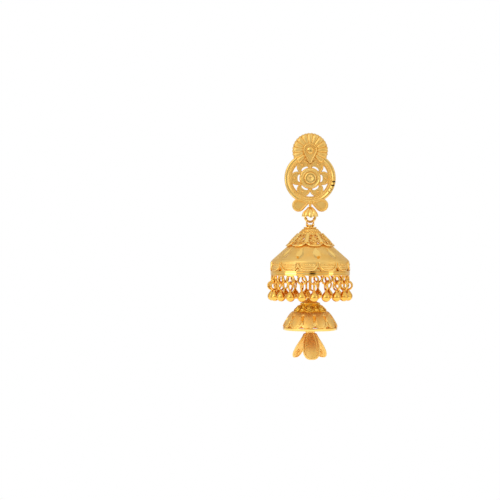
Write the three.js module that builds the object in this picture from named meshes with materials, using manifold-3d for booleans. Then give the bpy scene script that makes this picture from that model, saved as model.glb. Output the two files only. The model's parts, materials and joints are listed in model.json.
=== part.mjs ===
// A gold jhumka drop earring. The ear stud is a fluted fan over a pierced flower ring, two leaves and a fluted cap.
// From it hang, each on the one above, a jump ring, a bell with a fringe of ball drops, a smaller petalled bell,
// and a bud of three petals.
// Millimetres. +Z is up and the front faces -Y. The origin is where the ear post meets the back of the fan.
import * as THREE from "three";
import { mergeVertices } from "three/addons/utils/BufferGeometryUtils.js";
import Module from "manifold-3d";

const wasm = await Module();
wasm.setup();

// Sides of every wire's section
const wireSides = 5;

// Clearances
const linkClearance = 0.12; // between a loop and the wire that it hangs on
const seatClearance = 0.06; // between the post's foot and its seat

// Fan at the top of the stud
const fanRadius = 4.35;
const fanThickness = 1.15;
const fanToothCount = 22;
const fanToothHeight = 0.22;
const fanGap = THREE.MathUtils.degToRad(78); // the open sector at the foot of the fan
const fluteCount = 13;
const fluteLength = 2.3;
const fluteWidth = 1.15;
const fluteHeight = 0.42;
const bezelRadius = 1.65;
const bezelLength = 3.3; // from the centre of its round end to its tip
const bezelRim = 0.32;
const bezelRise = 0.6;
const bezelPocket = 0.34;
const buttonRadius = 0.68;

// Flower ring, below and behind the fan
const ringRadius = 6.4;
const ringBand = 1.5; // from its inner to its outer edge
const ringThickness = 1.12;
const fanOverlap = 3.9; // how far the fan covers the ring
const plateThickness = 0.8;
const lobeCount = 6;
const lobeRadius = 1.74;
const lobeRim = 0.34;
const lobePocket = 0.2;
const granuleRadius = 0.34;
const bossRadius = 2.62;
const bossHeight = 2.05;
const crescentWidth = 0.46;
const crescentHalfAngle = THREE.MathUtils.degToRad(17);
const brightCutCount = 3;
const brightCutWidth = 0.34;

// Leaves and fluted cap, at the foot of the stud
const leafRadius = 1.55;
const leafSpan = 8.9; // over both leaves
const leafTipGap = 0.9; // between the two pointed ends
const leafThickness = 1.35;
const leafRim = 0.3;
const leafPocket = 0.28;
const leafSlope = THREE.MathUtils.degToRad(14);
const capRadius = 2.2;
const capHeight = 2.75;
const capWall = 0.28;
const capOutsideRows = 5;
const capFlutes = 12;
const capFluteDepth = 0.12;

// Ear post
const postRadius = 0.45;
const postLength = 10.5;
const postSides = 12;
const footRadius = 1.6;
const footThickness = 0.5;
const footSeat = 0.3; // how deep the foot sits in the back of the fan

// Links
const jumpRingRadius = 1.25;
const jumpRingWire = 0.6;
const loopWire = 0.42;
const earSpacing = 0.6; // from the middle of the bell to each of its two ears

// Bell
const bellWall = 0.45;
const bellRadius = 9.75;
const collarRadius = 1.0;
const collarHeight = 0.9;
const domeRadius = 2.8;
const domeHeight = 1.6;
const tierRadius = 6.0;
const tierHeight = 3.1;
const tierStep = 0.25; // how far the pierced tier stands over the cone
const tierPetals = 8;
const coneHeight = 3.4;
const shoulder = 0.6;
const lobedWallHeight = 2.15;
const rimHeight = 1.1;
const rimStep = 0.15;
const bellLobes = 12;
const bellTurn = THREE.MathUtils.degToRad(-6);
const bellFacet = Math.PI / bellLobes; // each lobe is two flat facets wide
const tierTurn = bellTurn + 1.5 * bellFacet;
const notchRadius = 0.6;
const cutterLength = 3; // of the pointed cutters of the pierced work, half of it on each side of the wall
const cutterWiden = 2;
const ribWidth = 0.42;
const ribRise = 0.2;
const facetLength = 3.4;
const facetWidth = 1.3;
const facetDepth = 0.32;
const scallopGap = 0.3;
const scallopRise = 0.18;
const wallOpening = 0.86;
const stemRadius = 0.35;

// Fringe of the bell
const dropCount = 20;
const dropTurn = THREE.MathUtils.degToRad(3);
const rimRingRadius = 1.04;
const rimRingWire = 0.42;
const rimRingBite = 0.18; // how far each soldered ring runs into the rim
const dropRingRadius = 1.0;
const dropRingWire = 0.4;
const ballRadius = 1.12;
const neckRadius = 0.3;
const neckLength = 0.42;

// Lower bell
const lowerDrop = 5.4; // from the rim of the bell down to the wire that carries the lower bell
const lowerEyeRadius = 0.85;
const lowerWall = 0.45;
const lowerRadius = 6.75;
const lowerCapHeight = 1.55;
const lowerCapRadius = 2.15;
const rosetteTierHeight = 1.9;
const rosetteTierRadius = 4.3;
const rosetteCount = 6;
const rosetteRadius = 1.05;
const rosetteRise = 0.24;
const lowerDomeHeight = 3.5;
const lowerRimHeight = 0.95;
const lowerPetals = 12;
const lowerPetalBulge = 0.16;
const lowerTurn = THREE.MathUtils.degToRad(-7);
const pitRadius = 0.3;
const slotWidth = 0.55;
const slotHeight = 1.25;
const lowerOpening = 0.48;

// Bud
const budHang = 3.4; // from the top of the lower dome to the wire that carries the bud
const budCollarRadius = 1.25;
const budCollarHeight = 0.65;
const budLength = 6.9;
const budFlare = 3.1; // how far the tips stand outside the roots
const budRootRadius = 1.15;
const budPetals = 3;
const petalWidth = 4.1;
const petalThickness = 0.38;
const petalRimRise = 0.16;
const budTurn = THREE.MathUtils.degToRad(3);

// Heights and depths that follow from the sizes above
const ringZ = -(fanRadius + ringRadius - fanOverlap);
const leafZ = ringZ - ringRadius - 0.22 * leafRadius;
const capTopZ = leafZ - 0.32 * leafRadius;
const hangY = -0.5 * leafThickness; // the plane in which everything hangs
const eyeRadius = eyeRadiusFor(jumpRingWire);
const earRadius = eyeRadius + 0.04; // the ring crosses them at a slant
const capRoof = 0.6;
const eyeZ = capTopZ - capRoof - eyeRadius + 0.1;
const jumpRingZ = eyeZ - jumpRingRadius;
const earZ = jumpRingZ - Math.sqrt(jumpRingRadius ** 2 - earSpacing ** 2);
const collarTopZ = jumpRingZ - jumpRingRadius - jumpRingWire / 2 - linkClearance;
const domeTopZ = collarTopZ - collarHeight;
const tierTopZ = domeTopZ - domeHeight;
const coneTopZ = tierTopZ - tierHeight;
const shoulderTopZ = coneTopZ - coneHeight;
const wallTopZ = shoulderTopZ - shoulder;
const rimTopZ = wallTopZ - lobedWallHeight;
const rimBottomZ = rimTopZ - rimHeight;
const coneBottomRadius = bellRadius - 0.35;
const rimRingZ = rimBottomZ - rimRingRadius - rimRingWire / 2 + rimRingBite;
const fringeRadius = bellRadius - bellWall / 2;
const dropRingZ = rimRingZ - rimRingRadius + (rimRingWire + dropRingWire) / 2 + linkClearance - dropRingRadius;
const lowerLoopZ = rimBottomZ - lowerDrop;
const lowerEyeZ = lowerLoopZ + lowerEyeRadius;
const lowerLoopRadius = eyeRadiusFor(loopWire);
const lowerTopZ = lowerLoopZ - loopWire / 2 - linkClearance;
const lowerTierTopZ = lowerTopZ - lowerCapHeight;
const lowerDomeTopZ = lowerTierTopZ - rosetteTierHeight;
const lowerRimTopZ = lowerDomeTopZ - lowerDomeHeight;
const lowerRimBottomZ = lowerRimTopZ - lowerRimHeight;
const budLoopZ = lowerTierTopZ - budHang + 0.6;
const budCollarTopZ = lowerRimBottomZ - 0.1;
const budRootZ = budCollarTopZ - 0.5 * budCollarHeight;

// The centreline radius of a loop of the usual wire that rides on a wire of this thickness
function eyeRadiusFor(wire) {
  return wire / 2 + linkClearance + loopWire / 2;
}

// A closed geometry as a solid, whichever way its faces were wound
function solid(geometry) {
  const bare = geometry.clone();
  for (const name of Object.keys(bare.attributes)) if (name !== "position") bare.deleteAttribute(name);
  const merged = mergeVertices(bare, 1e-5);
  const corners = merged.index.array;
  const kept = [];
  for (let i = 0; i < corners.length; i += 3) {
    const [a, b, c] = [corners[i], corners[i + 1], corners[i + 2]];
    if (a !== b && b !== c && c !== a) kept.push(a, b, c);
  }
  const build = (triVerts) =>
    new wasm.Manifold(
      new wasm.Mesh({ numProp: 3, vertProperties: merged.attributes.position.array, triVerts }),
    );
  const made = build(new Uint32Array(kept));
  return made.volume() >= 0 ? made : build(new Uint32Array(kept.reverse()));
}

function join(solids) {
  return solids.reduce((sum, next) => sum.add(next));
}

function cut(body, tools) {
  return tools.reduce((rest, tool) => rest.subtract(tool), body);
}

// The same piece repeated round the Z axis of the bells. Azimuth 0 is the front and grows towards +X.
function around(count, turn, make) {
  return Array.from({ length: count }, (_, i) => make((2 * Math.PI * i) / count + turn)).flat();
}

// Geometry modelled about the Z axis, turned to its azimuth and moved to the plane that everything hangs in
function hung(geometry, azimuth = 0) {
  return solid(geometry.clone().rotateZ(azimuth).translate(0, hangY, 0));
}

// A flat outline of the stud made solid between two distances in front of the back plane
function slab(shape, back, front, arcSteps = 8) {
  const geometry = new THREE.ExtrudeGeometry(shape, {
    depth: front - back,
    bevelEnabled: false,
    curveSegments: arcSteps,
  });
  return solid(geometry.translate(0, 0, back).rotateX(Math.PI / 2));
}

// A piece turned about an axis that points to the front: rows of radius and distance in front of the back plane
function turnedForward(rows, sides, z) {
  const profile = [...rows, rows[0]].map(([radius, front]) => new THREE.Vector2(radius, -front));
  return solid(new THREE.LatheGeometry(profile, sides).translate(0, 0, z));
}

// A shell turned about the Z axis, with the start of its turn at the front
function turnedUpright(rows, sides, turn = 0) {
  const profile = [...rows, rows[0]].map(([radius, z]) => new THREE.Vector2(radius, z));
  return new THREE.LatheGeometry(profile, sides).rotateX(Math.PI / 2).rotateZ(turn);
}

// A ring of wire: facing the front, or edge on to it
function wireRing(radius, wire, z, facing, segments = 12, x = 0, y = 0) {
  const ring = new THREE.TorusGeometry(radius, wire / 2, wireSides, segments);
  if (facing === "front") ring.rotateX(Math.PI / 2);
  if (facing === "side") ring.rotateY(Math.PI / 2);
  return ring.translate(x, y, z);
}

function uprightRod(radius, topZ, bottomZ, sides = 8) {
  return new THREE.CylinderGeometry(radius, radius, topZ - bottomZ, sides)
    .rotateX(Math.PI / 2)
    .translate(0, 0, (topZ + bottomZ) / 2);
}

// A drop-shaped outline: a round end about its centre and a pointed end straight below it
function pearShape(radius, length) {
  const start = Math.acos(radius / length) - Math.PI / 2;
  const shape = new THREE.Shape();
  shape.moveTo(0, -length);
  shape.lineTo(radius * Math.cos(start), radius * Math.sin(start));
  shape.absarc(0, 0, radius, start, Math.PI - start, false);
  return shape;
}

// An outline turned about its own origin and then moved
function movedShape(shape, turn, x, z, divisions) {
  const points = shape.getPoints(divisions).map((p) => p.clone().rotateAround(new THREE.Vector2(0, 0), turn));
  return new THREE.Shape(points.map((p) => new THREE.Vector2(p.x + x, p.y + z)));
}

// A flat outline drawn to a point behind it: a cutter whose sides close in towards the axis of a bell
function pointed(shape, depth, arcSteps = 4) {
  const geometry = new THREE.ExtrudeGeometry(shape, { depth, bevelEnabled: false, curveSegments: arcSteps });
  const places = geometry.attributes.position;
  for (let i = 0; i < places.count; i++) if (places.getZ(i) < depth / 2) places.setXY(i, 0, 0);
  return geometry;
}

// A tool or boss set on a cone at the front, its axis along the normal: how far down the slope, how far off it
function onSlope(geometry, top, bottom, share, lift = 0) {
  const slope = new THREE.Vector2(bottom.radius - top.radius, bottom.z - top.z).normalize();
  const normal = new THREE.Vector3(0, slope.y, slope.x);
  const radius = top.radius + share * (bottom.radius - top.radius);
  const z = top.z + share * (bottom.z - top.z);
  geometry.applyQuaternion(new THREE.Quaternion().setFromUnitVectors(new THREE.Vector3(0, 1, 0), normal));
  return geometry.translate(0, -radius + normal.y * lift, z + normal.z * lift);
}

// The ear stud

function fanOutline() {
  const shape = new THREE.Shape();
  const from = -Math.PI / 2 + fanGap / 2;
  const step = (2 * Math.PI - fanGap) / fanToothCount;
  const at = (angle, radius) => [radius * Math.cos(angle), radius * Math.sin(angle)];
  shape.moveTo(...at(from, fanRadius));
  for (let i = 0; i < fanToothCount; i++) {
    shape.lineTo(...at(from + (i + 0.5) * step, fanRadius + fanToothHeight));
    shape.lineTo(...at(from + (i + 1) * step, fanRadius));
  }
  shape.lineTo(...at(from - fanGap, bezelRadius));
  shape.lineTo(...at(from, bezelRadius));
  return shape;
}

function flute(angle) {
  const body = new THREE.SphereGeometry(0.5, 6, 2).scale(fluteLength, 2 * fluteHeight, fluteWidth);
  const places = body.attributes.position;
  for (let i = 0; i < places.count; i++) {
    const taper = 1 + (0.9 * places.getX(i)) / fluteLength;
    places.setZ(i, places.getZ(i) * taper);
  }
  body.translate(fanRadius - 0.55 * fluteLength, -fanThickness, 0).rotateY(-angle);
  return solid(body);
}

function fan() {
  const fluteStep = (2 * Math.PI - fanGap) / fluteCount;
  const first = -Math.PI / 2 + fanGap / 2 + fluteStep / 2;
  const flutes = Array.from({ length: fluteCount }, (_, i) => flute(first + i * fluteStep));
  const bezelFront = fanThickness + bezelRise;
  const bezel = slab(pearShape(bezelRadius, bezelLength), 0, bezelFront);
  const pocket = slab(
    pearShape(bezelRadius - bezelRim, bezelLength - 2 * bezelRim),
    bezelFront - bezelPocket,
    bezelFront + 1,
  );
  const button = new THREE.SphereGeometry(buttonRadius, 8, 4).scale(1, 0.6, 1);
  const blank = join([slab(fanOutline(), 0, fanThickness), ...flutes, bezel.subtract(pocket)]);
  return blank.add(solid(button.translate(0, -(bezelFront - bezelPocket), 0)));
}

function crescent(angle) {
  const shape = new THREE.Shape();
  const inner = bossRadius + 0.04;
  shape.absarc(0, 0, inner + crescentWidth, -crescentHalfAngle, crescentHalfAngle, false);
  shape.absarc(0, 0, inner, 0.9 * crescentHalfAngle, -0.9 * crescentHalfAngle, true);
  return slab(movedShape(shape, angle, 0, ringZ, 1), -1, ringThickness + 1);
}

function flowerRing() {
  const inner = ringRadius - ringBand;
  const band = turnedForward(
    [
      [inner, 0],
      [ringRadius, 0],
      [ringRadius, 0.55 * ringThickness],
      [ringRadius - 0.25 * ringBand, ringThickness],
      [ringRadius - 0.5 * ringBand, 0.8 * ringThickness],
      [inner, plateThickness],
    ],
    24,
    ringZ,
  );
  const lobes = [];
  const pockets = [];
  const granules = [];
  const crescents = [];
  for (let i = 0; i < lobeCount; i++) {
    const angle = (2 * Math.PI * i) / lobeCount;
    const away = inner + 0.1 - lobeRadius;
    const [x, z] = [away * Math.cos(angle), ringZ + away * Math.sin(angle)];
    lobes.push(
      solid(
        new THREE.CylinderGeometry(lobeRadius, lobeRadius, plateThickness, 10).translate(x, -plateThickness / 2, z),
      ),
    );
    const pocketRadius = lobeRadius - lobeRim;
    pockets.push(
      solid(
        new THREE.CylinderGeometry(pocketRadius, pocketRadius, 2 * lobePocket, 8).translate(x, -plateThickness, z),
      ),
    );
    const grain = new THREE.SphereGeometry(granuleRadius, 6, 3);
    const out = away + 0.3 * lobeRadius;
    granules.push(
      solid(grain.translate(out * Math.cos(angle), lobePocket - plateThickness, ringZ + out * Math.sin(angle))),
    );
    crescents.push(crescent(angle));
  }
  const boss = turnedForward(
    [
      [0, 0],
      [bossRadius + crescentWidth / 2, 0],
      [bossRadius + crescentWidth / 2, plateThickness],
      [bossRadius, plateThickness],
      [bossRadius, 0.72 * bossHeight],
      [0.9 * bossRadius, 0.82 * bossHeight],
      [0.78 * bossRadius, 0.82 * bossHeight],
      [0.7 * bossRadius, 0.7 * bossHeight],
      [0.46 * bossRadius, 0.94 * bossHeight],
      [0.3 * bossRadius, 0.86 * bossHeight],
      [0, bossHeight],
    ],
    12,
    ringZ,
  );
  const cuts = Array.from({ length: brightCutCount }, (_, i) => {
    const angle = -(8 + 9 * i) * (Math.PI / 180);
    const blade = new THREE.BoxGeometry(1.0, 2 * brightCutWidth, brightCutWidth).rotateX(Math.PI / 4).rotateY(-0.5);
    const out = ringRadius - 0.12 * ringBand;
    return solid(blade.translate(out, -0.95 * ringThickness, 0).rotateY(-angle).translate(0, 0, ringZ));
  });
  const plate = cut(join([...lobes]), pockets);
  return cut(join([band, plate, boss, ...granules]), [...crescents, ...cuts]);
}

function leaves() {
  const length = leafSpan / 2 - leafRadius - leafTipGap / 2;
  const x = leafSpan / 2 - leafRadius;
  return [-1, 1].map((side) => {
    const turn = side * (-Math.PI / 2 - leafSlope);
    const outline = movedShape(pearShape(leafRadius, length), turn, side * x, leafZ, 6);
    const inner = movedShape(pearShape(leafRadius - leafRim, length - 1.6 * leafRim), turn, side * x, leafZ, 5);
    return slab(outline, 0, leafThickness).subtract(slab(inner, leafThickness - leafPocket, leafThickness + 1));
  });
}

function leafClasp() {
  const top = leafZ + leafRadius - 0.15;
  const bottom = capTopZ - capRoof - loopWire / 2;
  const clasp = new THREE.BoxGeometry(leafTipGap, leafThickness + 0.1, top - bottom);
  return solid(clasp.translate(0, -(leafThickness + 0.1) / 2, (top + bottom) / 2));
}

function flutedCap() {
  const bottom = capTopZ - capHeight;
  const rows = [
    [0, capTopZ],
    [0.4 * capRadius, capTopZ - 0.04 * capHeight],
    [0.7 * capRadius, capTopZ - 0.36 * capHeight],
    [0.9 * capRadius, capTopZ - 0.72 * capHeight],
    [capRadius, bottom],
    [capRadius - capWall, bottom],
    [0.9 * capRadius - capWall, capTopZ - 0.72 * capHeight],
    [0.7 * capRadius - capWall, capTopZ - 0.42 * capHeight],
    [0, capTopZ - capRoof],
  ];
  const shell = turnedUpright(rows, 2 * capFlutes);
  const places = shell.attributes.position;
  for (let i = 0; i < places.count; i++) {
    const [x, y] = [places.getX(i), places.getY(i)];
    const radius = Math.hypot(x, y);
    const outside = i % (rows.length + 1) < capOutsideRows;
    if (!outside || radius === 0) continue;
    const wave = Math.cos(capFlutes * Math.atan2(x, -y));
    const share = 1 + (capFluteDepth * wave) / capRadius;
    places.setXY(i, x * share, y * share);
  }
  const front = leafThickness - 0.15;
  const behind = new THREE.BoxGeometry(4 * capRadius, 4 * capRadius, 2 * capHeight);
  return solid(shell.translate(0, hangY, 0)).subtract(
    solid(behind.translate(0, 2 * capRadius - front, capTopZ - capHeight / 2)),
  );
}

function studFront() {
  const eye = hung(wireRing(eyeRadius, loopWire, eyeZ, "side"));
  const seatRadius = footRadius + seatClearance;
  const seat = new THREE.CylinderGeometry(seatRadius, seatRadius, 2 * footSeat, postSides);
  return join([fan(), flowerRing(), ...leaves(), leafClasp(), flutedCap(), eye]).subtract(solid(seat));
}

function earPost() {
  const start = seatClearance - footSeat;
  const rows = [
    [0, start],
    [footRadius, start],
    [footRadius, start + footThickness],
    [postRadius, start + footThickness],
    [postRadius, postLength - 1.6],
    [0.7 * postRadius, postLength - 1.45],
    [0.7 * postRadius, postLength - 1.15],
    [postRadius, postLength - 1.0],
    [0.5 * postRadius, postLength],
    [0, postLength],
  ];
  return turnedForward(rows.map(([radius, back]) => [radius, -back]), postSides, 0);
}

// The bell

const tierTop = { radius: domeRadius + 0.15, z: tierTopZ };
const tierBottom = { radius: tierRadius, z: coneTopZ };
const coneTop = { radius: tierRadius - tierStep, z: coneTopZ };
const coneBottom = { radius: coneBottomRadius, z: shoulderTopZ };

function bellShell() {
  const inside = bellWall * Math.SQRT2;
  return hung(
    turnedUpright(
      [
        [0, collarTopZ],
        [collarRadius, collarTopZ],
        [collarRadius, domeTopZ],
        [0.66 * domeRadius, domeTopZ],
        [0.92 * domeRadius, domeTopZ - 0.6 * domeHeight],
        [tierTop.radius, tierTop.z],
        [tierBottom.radius, tierBottom.z],
        [coneTop.radius, coneTop.z - 0.15],
        [coneBottom.radius, coneBottom.z],
        [bellRadius, wallTopZ],
        [bellRadius - 0.05, rimTopZ],
        [bellRadius + rimStep, rimTopZ],
        [bellRadius + rimStep - 0.05, rimBottomZ],
        [bellRadius - bellWall, rimBottomZ],
        [bellRadius - bellWall, wallTopZ],
        [coneBottom.radius - 0.35 * inside, shoulderTopZ - 0.35 * inside],
        [coneTop.radius - 0.5 * inside, coneTop.z - 0.15 - 0.5 * inside],
        [tierTop.radius - 0.5 * inside, tierTop.z - 0.5 * inside],
        [0, tierTop.z - 0.4 * inside],
      ],
      2 * bellLobes,
      bellTurn + bellFacet / 2,
    ),
  );
}

// The holes down one side of a filigree petal, by their share of the way down the tier's slope
const filigreeHoles = [
  { down: 0.2, radius: 0.24 },
  { down: 0.47, radius: 0.33 },
  { down: 0.78, radius: 0.4 },
];

function filigreeCuts() {
  const holes = around(tierPetals, tierTurn, (azimuth) =>
    [-0.5, 0.5].flatMap((side) =>
      filigreeHoles.map(({ down, radius }) => {
        const tool = new THREE.ConeGeometry(radius * cutterWiden, cutterLength, 4).rotateZ(Math.PI);
        return hung(onSlope(tool, tierTop, tierBottom, down), azimuth + side * bellFacet);
      }),
    ),
  );
  const notches = around(tierPetals, tierTurn + Math.PI / tierPetals, (azimuth) => {
    const tool = new THREE.ConeGeometry(notchRadius * cutterWiden, cutterLength, 3).rotateZ(Math.PI);
    return hung(onSlope(tool, tierTop, tierBottom, 0.86), azimuth);
  });
  return [...holes, ...notches];
}

function tierRibs() {
  const length = 0.62 * Math.hypot(tierBottom.radius - tierTop.radius, tierHeight);
  return around(tierPetals, tierTurn + Math.PI / tierPetals, (azimuth) => {
    const rib = new THREE.BoxGeometry(ribWidth, 2 * ribRise, length);
    return hung(onSlope(rib, tierTop, tierBottom, 0.38), azimuth);
  });
}

function brightFacets() {
  return around(bellLobes, bellTurn + Math.PI / bellLobes, (azimuth) => {
    const facet = new THREE.OctahedronGeometry(0.5).scale(facetWidth, 2 * facetDepth, facetLength);
    return hung(onSlope(facet, coneTop, coneBottom, 0.55), azimuth);
  });
}

// Raised lobes round the wall, each a U that stands a little proud of it
function scallops() {
  const halfWidth = (Math.PI * bellRadius) / bellLobes - scallopGap / 2;
  const top = wallTopZ + 0.05;
  const lobe = new THREE.Shape();
  lobe.moveTo(halfWidth, 0);
  lobe.ellipse(-halfWidth, 0, halfWidth, top - rimTopZ, 0, -Math.PI, true);
  const band = turnedUpright(
    [
      [bellRadius - bellWall / 2, top],
      [bellRadius + scallopRise, top],
      [bellRadius + scallopRise, rimTopZ - 0.1],
      [bellRadius - bellWall / 2, rimTopZ - 0.1],
    ],
    2 * bellLobes,
    bellTurn + bellFacet / 2,
  );
  const cutters = around(bellLobes, bellTurn, (azimuth) =>
    hung(pointed(lobe, bellRadius + 2 * scallopRise, 3).rotateX(Math.PI / 2).translate(0, 0, top), azimuth),
  );
  return hung(band).intersect(join(cutters));
}

function wallOpenings() {
  return around(bellLobes, bellTurn + Math.PI / bellLobes, (azimuth) => {
    const tool = new THREE.ConeGeometry(wallOpening * cutterWiden, cutterLength, 3).rotateZ(Math.PI);
    return hung(tool.translate(0, -bellRadius, rimTopZ + 0.55 * wallOpening), azimuth);
  });
}

function rimRings() {
  return around(dropCount, dropTurn, (azimuth) =>
    hung(wireRing(rimRingRadius, rimRingWire, rimRingZ, "front", 10, 0, -fringeRadius), azimuth),
  );
}

function bell() {
  const shell = cut(join([bellShell(), ...tierRibs()]), [...filigreeCuts(), ...brightFacets()]);
  const wall = cut(join([shell, scallops()]), wallOpenings());
  const ears = [-earSpacing, earSpacing].map((x) => hung(wireRing(earRadius, loopWire, earZ, "side", 10, x)));
  const stem = hung(uprightRod(stemRadius, tierTopZ - 0.2, lowerEyeZ + lowerEyeRadius - loopWire / 4));
  const eye = hung(wireRing(lowerEyeRadius, loopWire, lowerEyeZ, "front"));
  return join([wall, ...rimRings(), ...ears, stem, eye]);
}

// One drop of the fringe, about the point where it hangs: a ring across the rim's ring, a neck and a ball
function fringeDrop() {
  const ring = wireRing(dropRingRadius, dropRingWire, 0, "side", 10);
  const neckZ = -dropRingRadius - dropRingWire / 4;
  const ballZ = neckZ - neckLength - ballRadius;
  const ballRows = [62, 12, -40].map((latitude) => {
    const angle = THREE.MathUtils.degToRad(latitude);
    return [ballRadius * Math.cos(angle), ballZ + ballRadius * Math.sin(angle)];
  });
  const ball = turnedUpright([[0, neckZ], [neckRadius, neckZ], ...ballRows, [0, ballZ - ballRadius]], 10);
  return solid(ring).add(solid(ball));
}

// The lower bell

const lowerTierTop = { radius: lowerCapRadius, z: lowerTierTopZ };
const lowerTierBottom = { radius: rosetteTierRadius, z: lowerDomeTopZ };

function lowerShell() {
  const depth = lowerDomeHeight;
  const geometry = turnedUpright(
    [
      [0, lowerTopZ],
      [0.3 * lowerCapRadius, lowerTopZ],
      [0.55 * lowerCapRadius, lowerTopZ - 0.6 * lowerCapHeight],
      [1.05 * lowerCapRadius, lowerTopZ - 0.8 * lowerCapHeight],
      [lowerTierTop.radius, lowerTierTop.z],
      [lowerTierBottom.radius, lowerTierBottom.z],
      [0.74 * lowerRadius, lowerDomeTopZ - 0.16 * depth],
      [0.93 * lowerRadius, lowerDomeTopZ - 0.62 * depth],
      [lowerRadius, lowerRimTopZ],
      [lowerRadius - 0.15, lowerRimBottomZ],
      [lowerRadius - 0.15 - lowerWall, lowerRimBottomZ],
      [0.91 * lowerRadius - lowerWall, lowerDomeTopZ - 0.66 * depth],
      [0.7 * lowerRadius - 0.5 * lowerWall, lowerDomeTopZ - 0.18 * depth],
      [lowerTierTop.radius - 0.6 * lowerWall, lowerTierTop.z - 0.75 * lowerWall],
      [0, lowerTierTop.z - 0.5 * lowerWall],
    ],
    2 * lowerPetals,
    lowerTurn,
  );
  const places = geometry.attributes.position;
  for (let i = 0; i < places.count; i++) {
    const [x, y, z] = [places.getX(i), places.getY(i), places.getZ(i)];
    const down = (lowerDomeTopZ - z) / depth;
    if (down <= 0.1 || down >= 1) continue;
    const wave = Math.cos(lowerPetals * (Math.atan2(x, -y) - lowerTurn));
    const share = 1 + (lowerPetalBulge * wave * Math.sin(Math.PI * Math.min(down + 0.1, 1))) / Math.hypot(x, y);
    places.setXY(i, x * share, y * share);
  }
  return hung(geometry);
}

function rosettes() {
  return around(rosetteCount, lowerTurn, (azimuth) => {
    const disc = new THREE.CylinderGeometry(0.8 * rosetteRadius, rosetteRadius, 2 * rosetteRise, 6);
    const grain = new THREE.ConeGeometry(0.4 * rosetteRadius, 2 * rosetteRise, 4);
    return hung(onSlope(disc, lowerTierTop, lowerTierBottom, 0.5), azimuth).add(
      hung(onSlope(grain, lowerTierTop, lowerTierBottom, 0.5, 0.6 * rosetteRise), azimuth),
    );
  });
}

function lowerCuts() {
  const between = lowerTurn + Math.PI / lowerPetals;
  const slots = around(lowerPetals, between, (azimuth) => {
    const tool = new THREE.ConeGeometry(cutterWiden * Math.SQRT1_2, cutterLength, 4, 1, false, Math.PI / 4);
    tool.rotateZ(Math.PI).scale(slotWidth, 1, slotHeight);
    return hung(tool.translate(0, -0.82 * lowerRadius, lowerDomeTopZ - 0.36 * lowerDomeHeight), azimuth);
  });
  const openings = around(lowerPetals, between, (azimuth) => {
    const tool = new THREE.ConeGeometry(lowerOpening * cutterWiden, cutterLength, 3).rotateZ(Math.PI);
    return hung(tool.translate(0, -lowerRadius, lowerRimTopZ + 0.62 * lowerOpening), azimuth);
  });
  const pits = around(rosetteCount, lowerTurn + Math.PI / rosetteCount, (azimuth) => {
    const tool = new THREE.ConeGeometry(pitRadius * cutterWiden, cutterLength, 4).rotateZ(Math.PI);
    return hung(onSlope(tool, lowerTierTop, lowerTierBottom, 0.78), azimuth);
  });
  return [...slots, ...openings, ...pits];
}

function lowerBell() {
  const shell = cut(join([lowerShell(), ...rosettes()]), lowerCuts());
  const loop = hung(wireRing(lowerLoopRadius, loopWire, lowerLoopZ, "side"));
  const hangerTop = lowerTierTopZ - 0.25 * lowerWall;
  const hanger = hung(uprightRod(stemRadius, hangerTop, budLoopZ + 1.9 * lowerLoopRadius));
  const eye = hung(wireRing(lowerLoopRadius, loopWire, budLoopZ + lowerLoopRadius, "side"));
  return join([shell, loop, hanger, eye]);
}

// The bud

// Sections of one petal from root to tip: how far down and out its middle runs, and its half width, as shares
const petalSections = [
  { down: 0.0, out: 0.0, half: 0.22 },
  { down: 0.16, out: 0.28, half: 0.3 },
  { down: 0.38, out: 0.58, half: 0.7 },
  { down: 0.6, out: 0.78, half: 1.0 },
  { down: 0.8, out: 0.91, half: 0.9 },
  { down: 0.93, out: 0.97, half: 0.56 },
  { down: 1.0, out: 1.0, half: 0.16 },
];
const petalAcross = [-1, -0.8, 0, 0.8, 1];

function petal(azimuth) {
  const rows = petalSections.length - 1;
  const columns = petalAcross.length - 1;
  const box = new THREE.BoxGeometry(columns, rows, 1, columns, rows, 1);
  const places = box.attributes.position;
  const middle = petalSections.map(
    ({ down, out }) => new THREE.Vector2(budRootRadius + out * budFlare, budRootZ - down * budLength),
  );
  for (let i = 0; i < places.count; i++) {
    const row = Math.round(rows / 2 - places.getY(i));
    const across = petalAcross[Math.round(places.getX(i) + columns / 2)];
    const ahead = middle[Math.min(row + 1, rows)];
    const behind = middle[Math.max(row - 1, 0)];
    const along = ahead.clone().sub(behind).normalize();
    const outward = new THREE.Vector2(-along.y, along.x);
    const front = places.getZ(i) > 0;
    const rise = front ? petalThickness / 2 + (Math.abs(across) === 1 ? petalRimRise : 0) : -petalThickness / 2;
    const spot = middle[row].clone().addScaledVector(outward, rise);
    places.setXYZ(i, (across * petalSections[row].half * petalWidth) / 2, -spot.x, spot.y);
  }
  return hung(box, azimuth);
}

function bud() {
  const collar = turnedUpright(
    [
      [0, budCollarTopZ],
      [0.7 * budCollarRadius, budCollarTopZ],
      [budCollarRadius, budCollarTopZ - 0.4 * budCollarHeight],
      [budCollarRadius, budCollarTopZ - budCollarHeight],
      [0.6 * budCollarRadius, budCollarTopZ - 1.6 * budCollarHeight],
      [0, budCollarTopZ - 1.6 * budCollarHeight],
    ],
    10,
  );
  const stem = hung(uprightRod(stemRadius, budLoopZ - lowerLoopRadius + loopWire / 4, budCollarTopZ - 0.2));
  const loop = hung(wireRing(lowerLoopRadius, loopWire, budLoopZ, "front"));
  return join([hung(collar), stem, loop, ...around(budPetals, budTurn, petal)]);
}

// The assembly

const finishes = {
  satin: { color: 0xe2ac4c, roughness: 0.38, metalness: 1 },
  polished: { color: 0xf0bf5a, roughness: 0.16, metalness: 1 },
};

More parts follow.
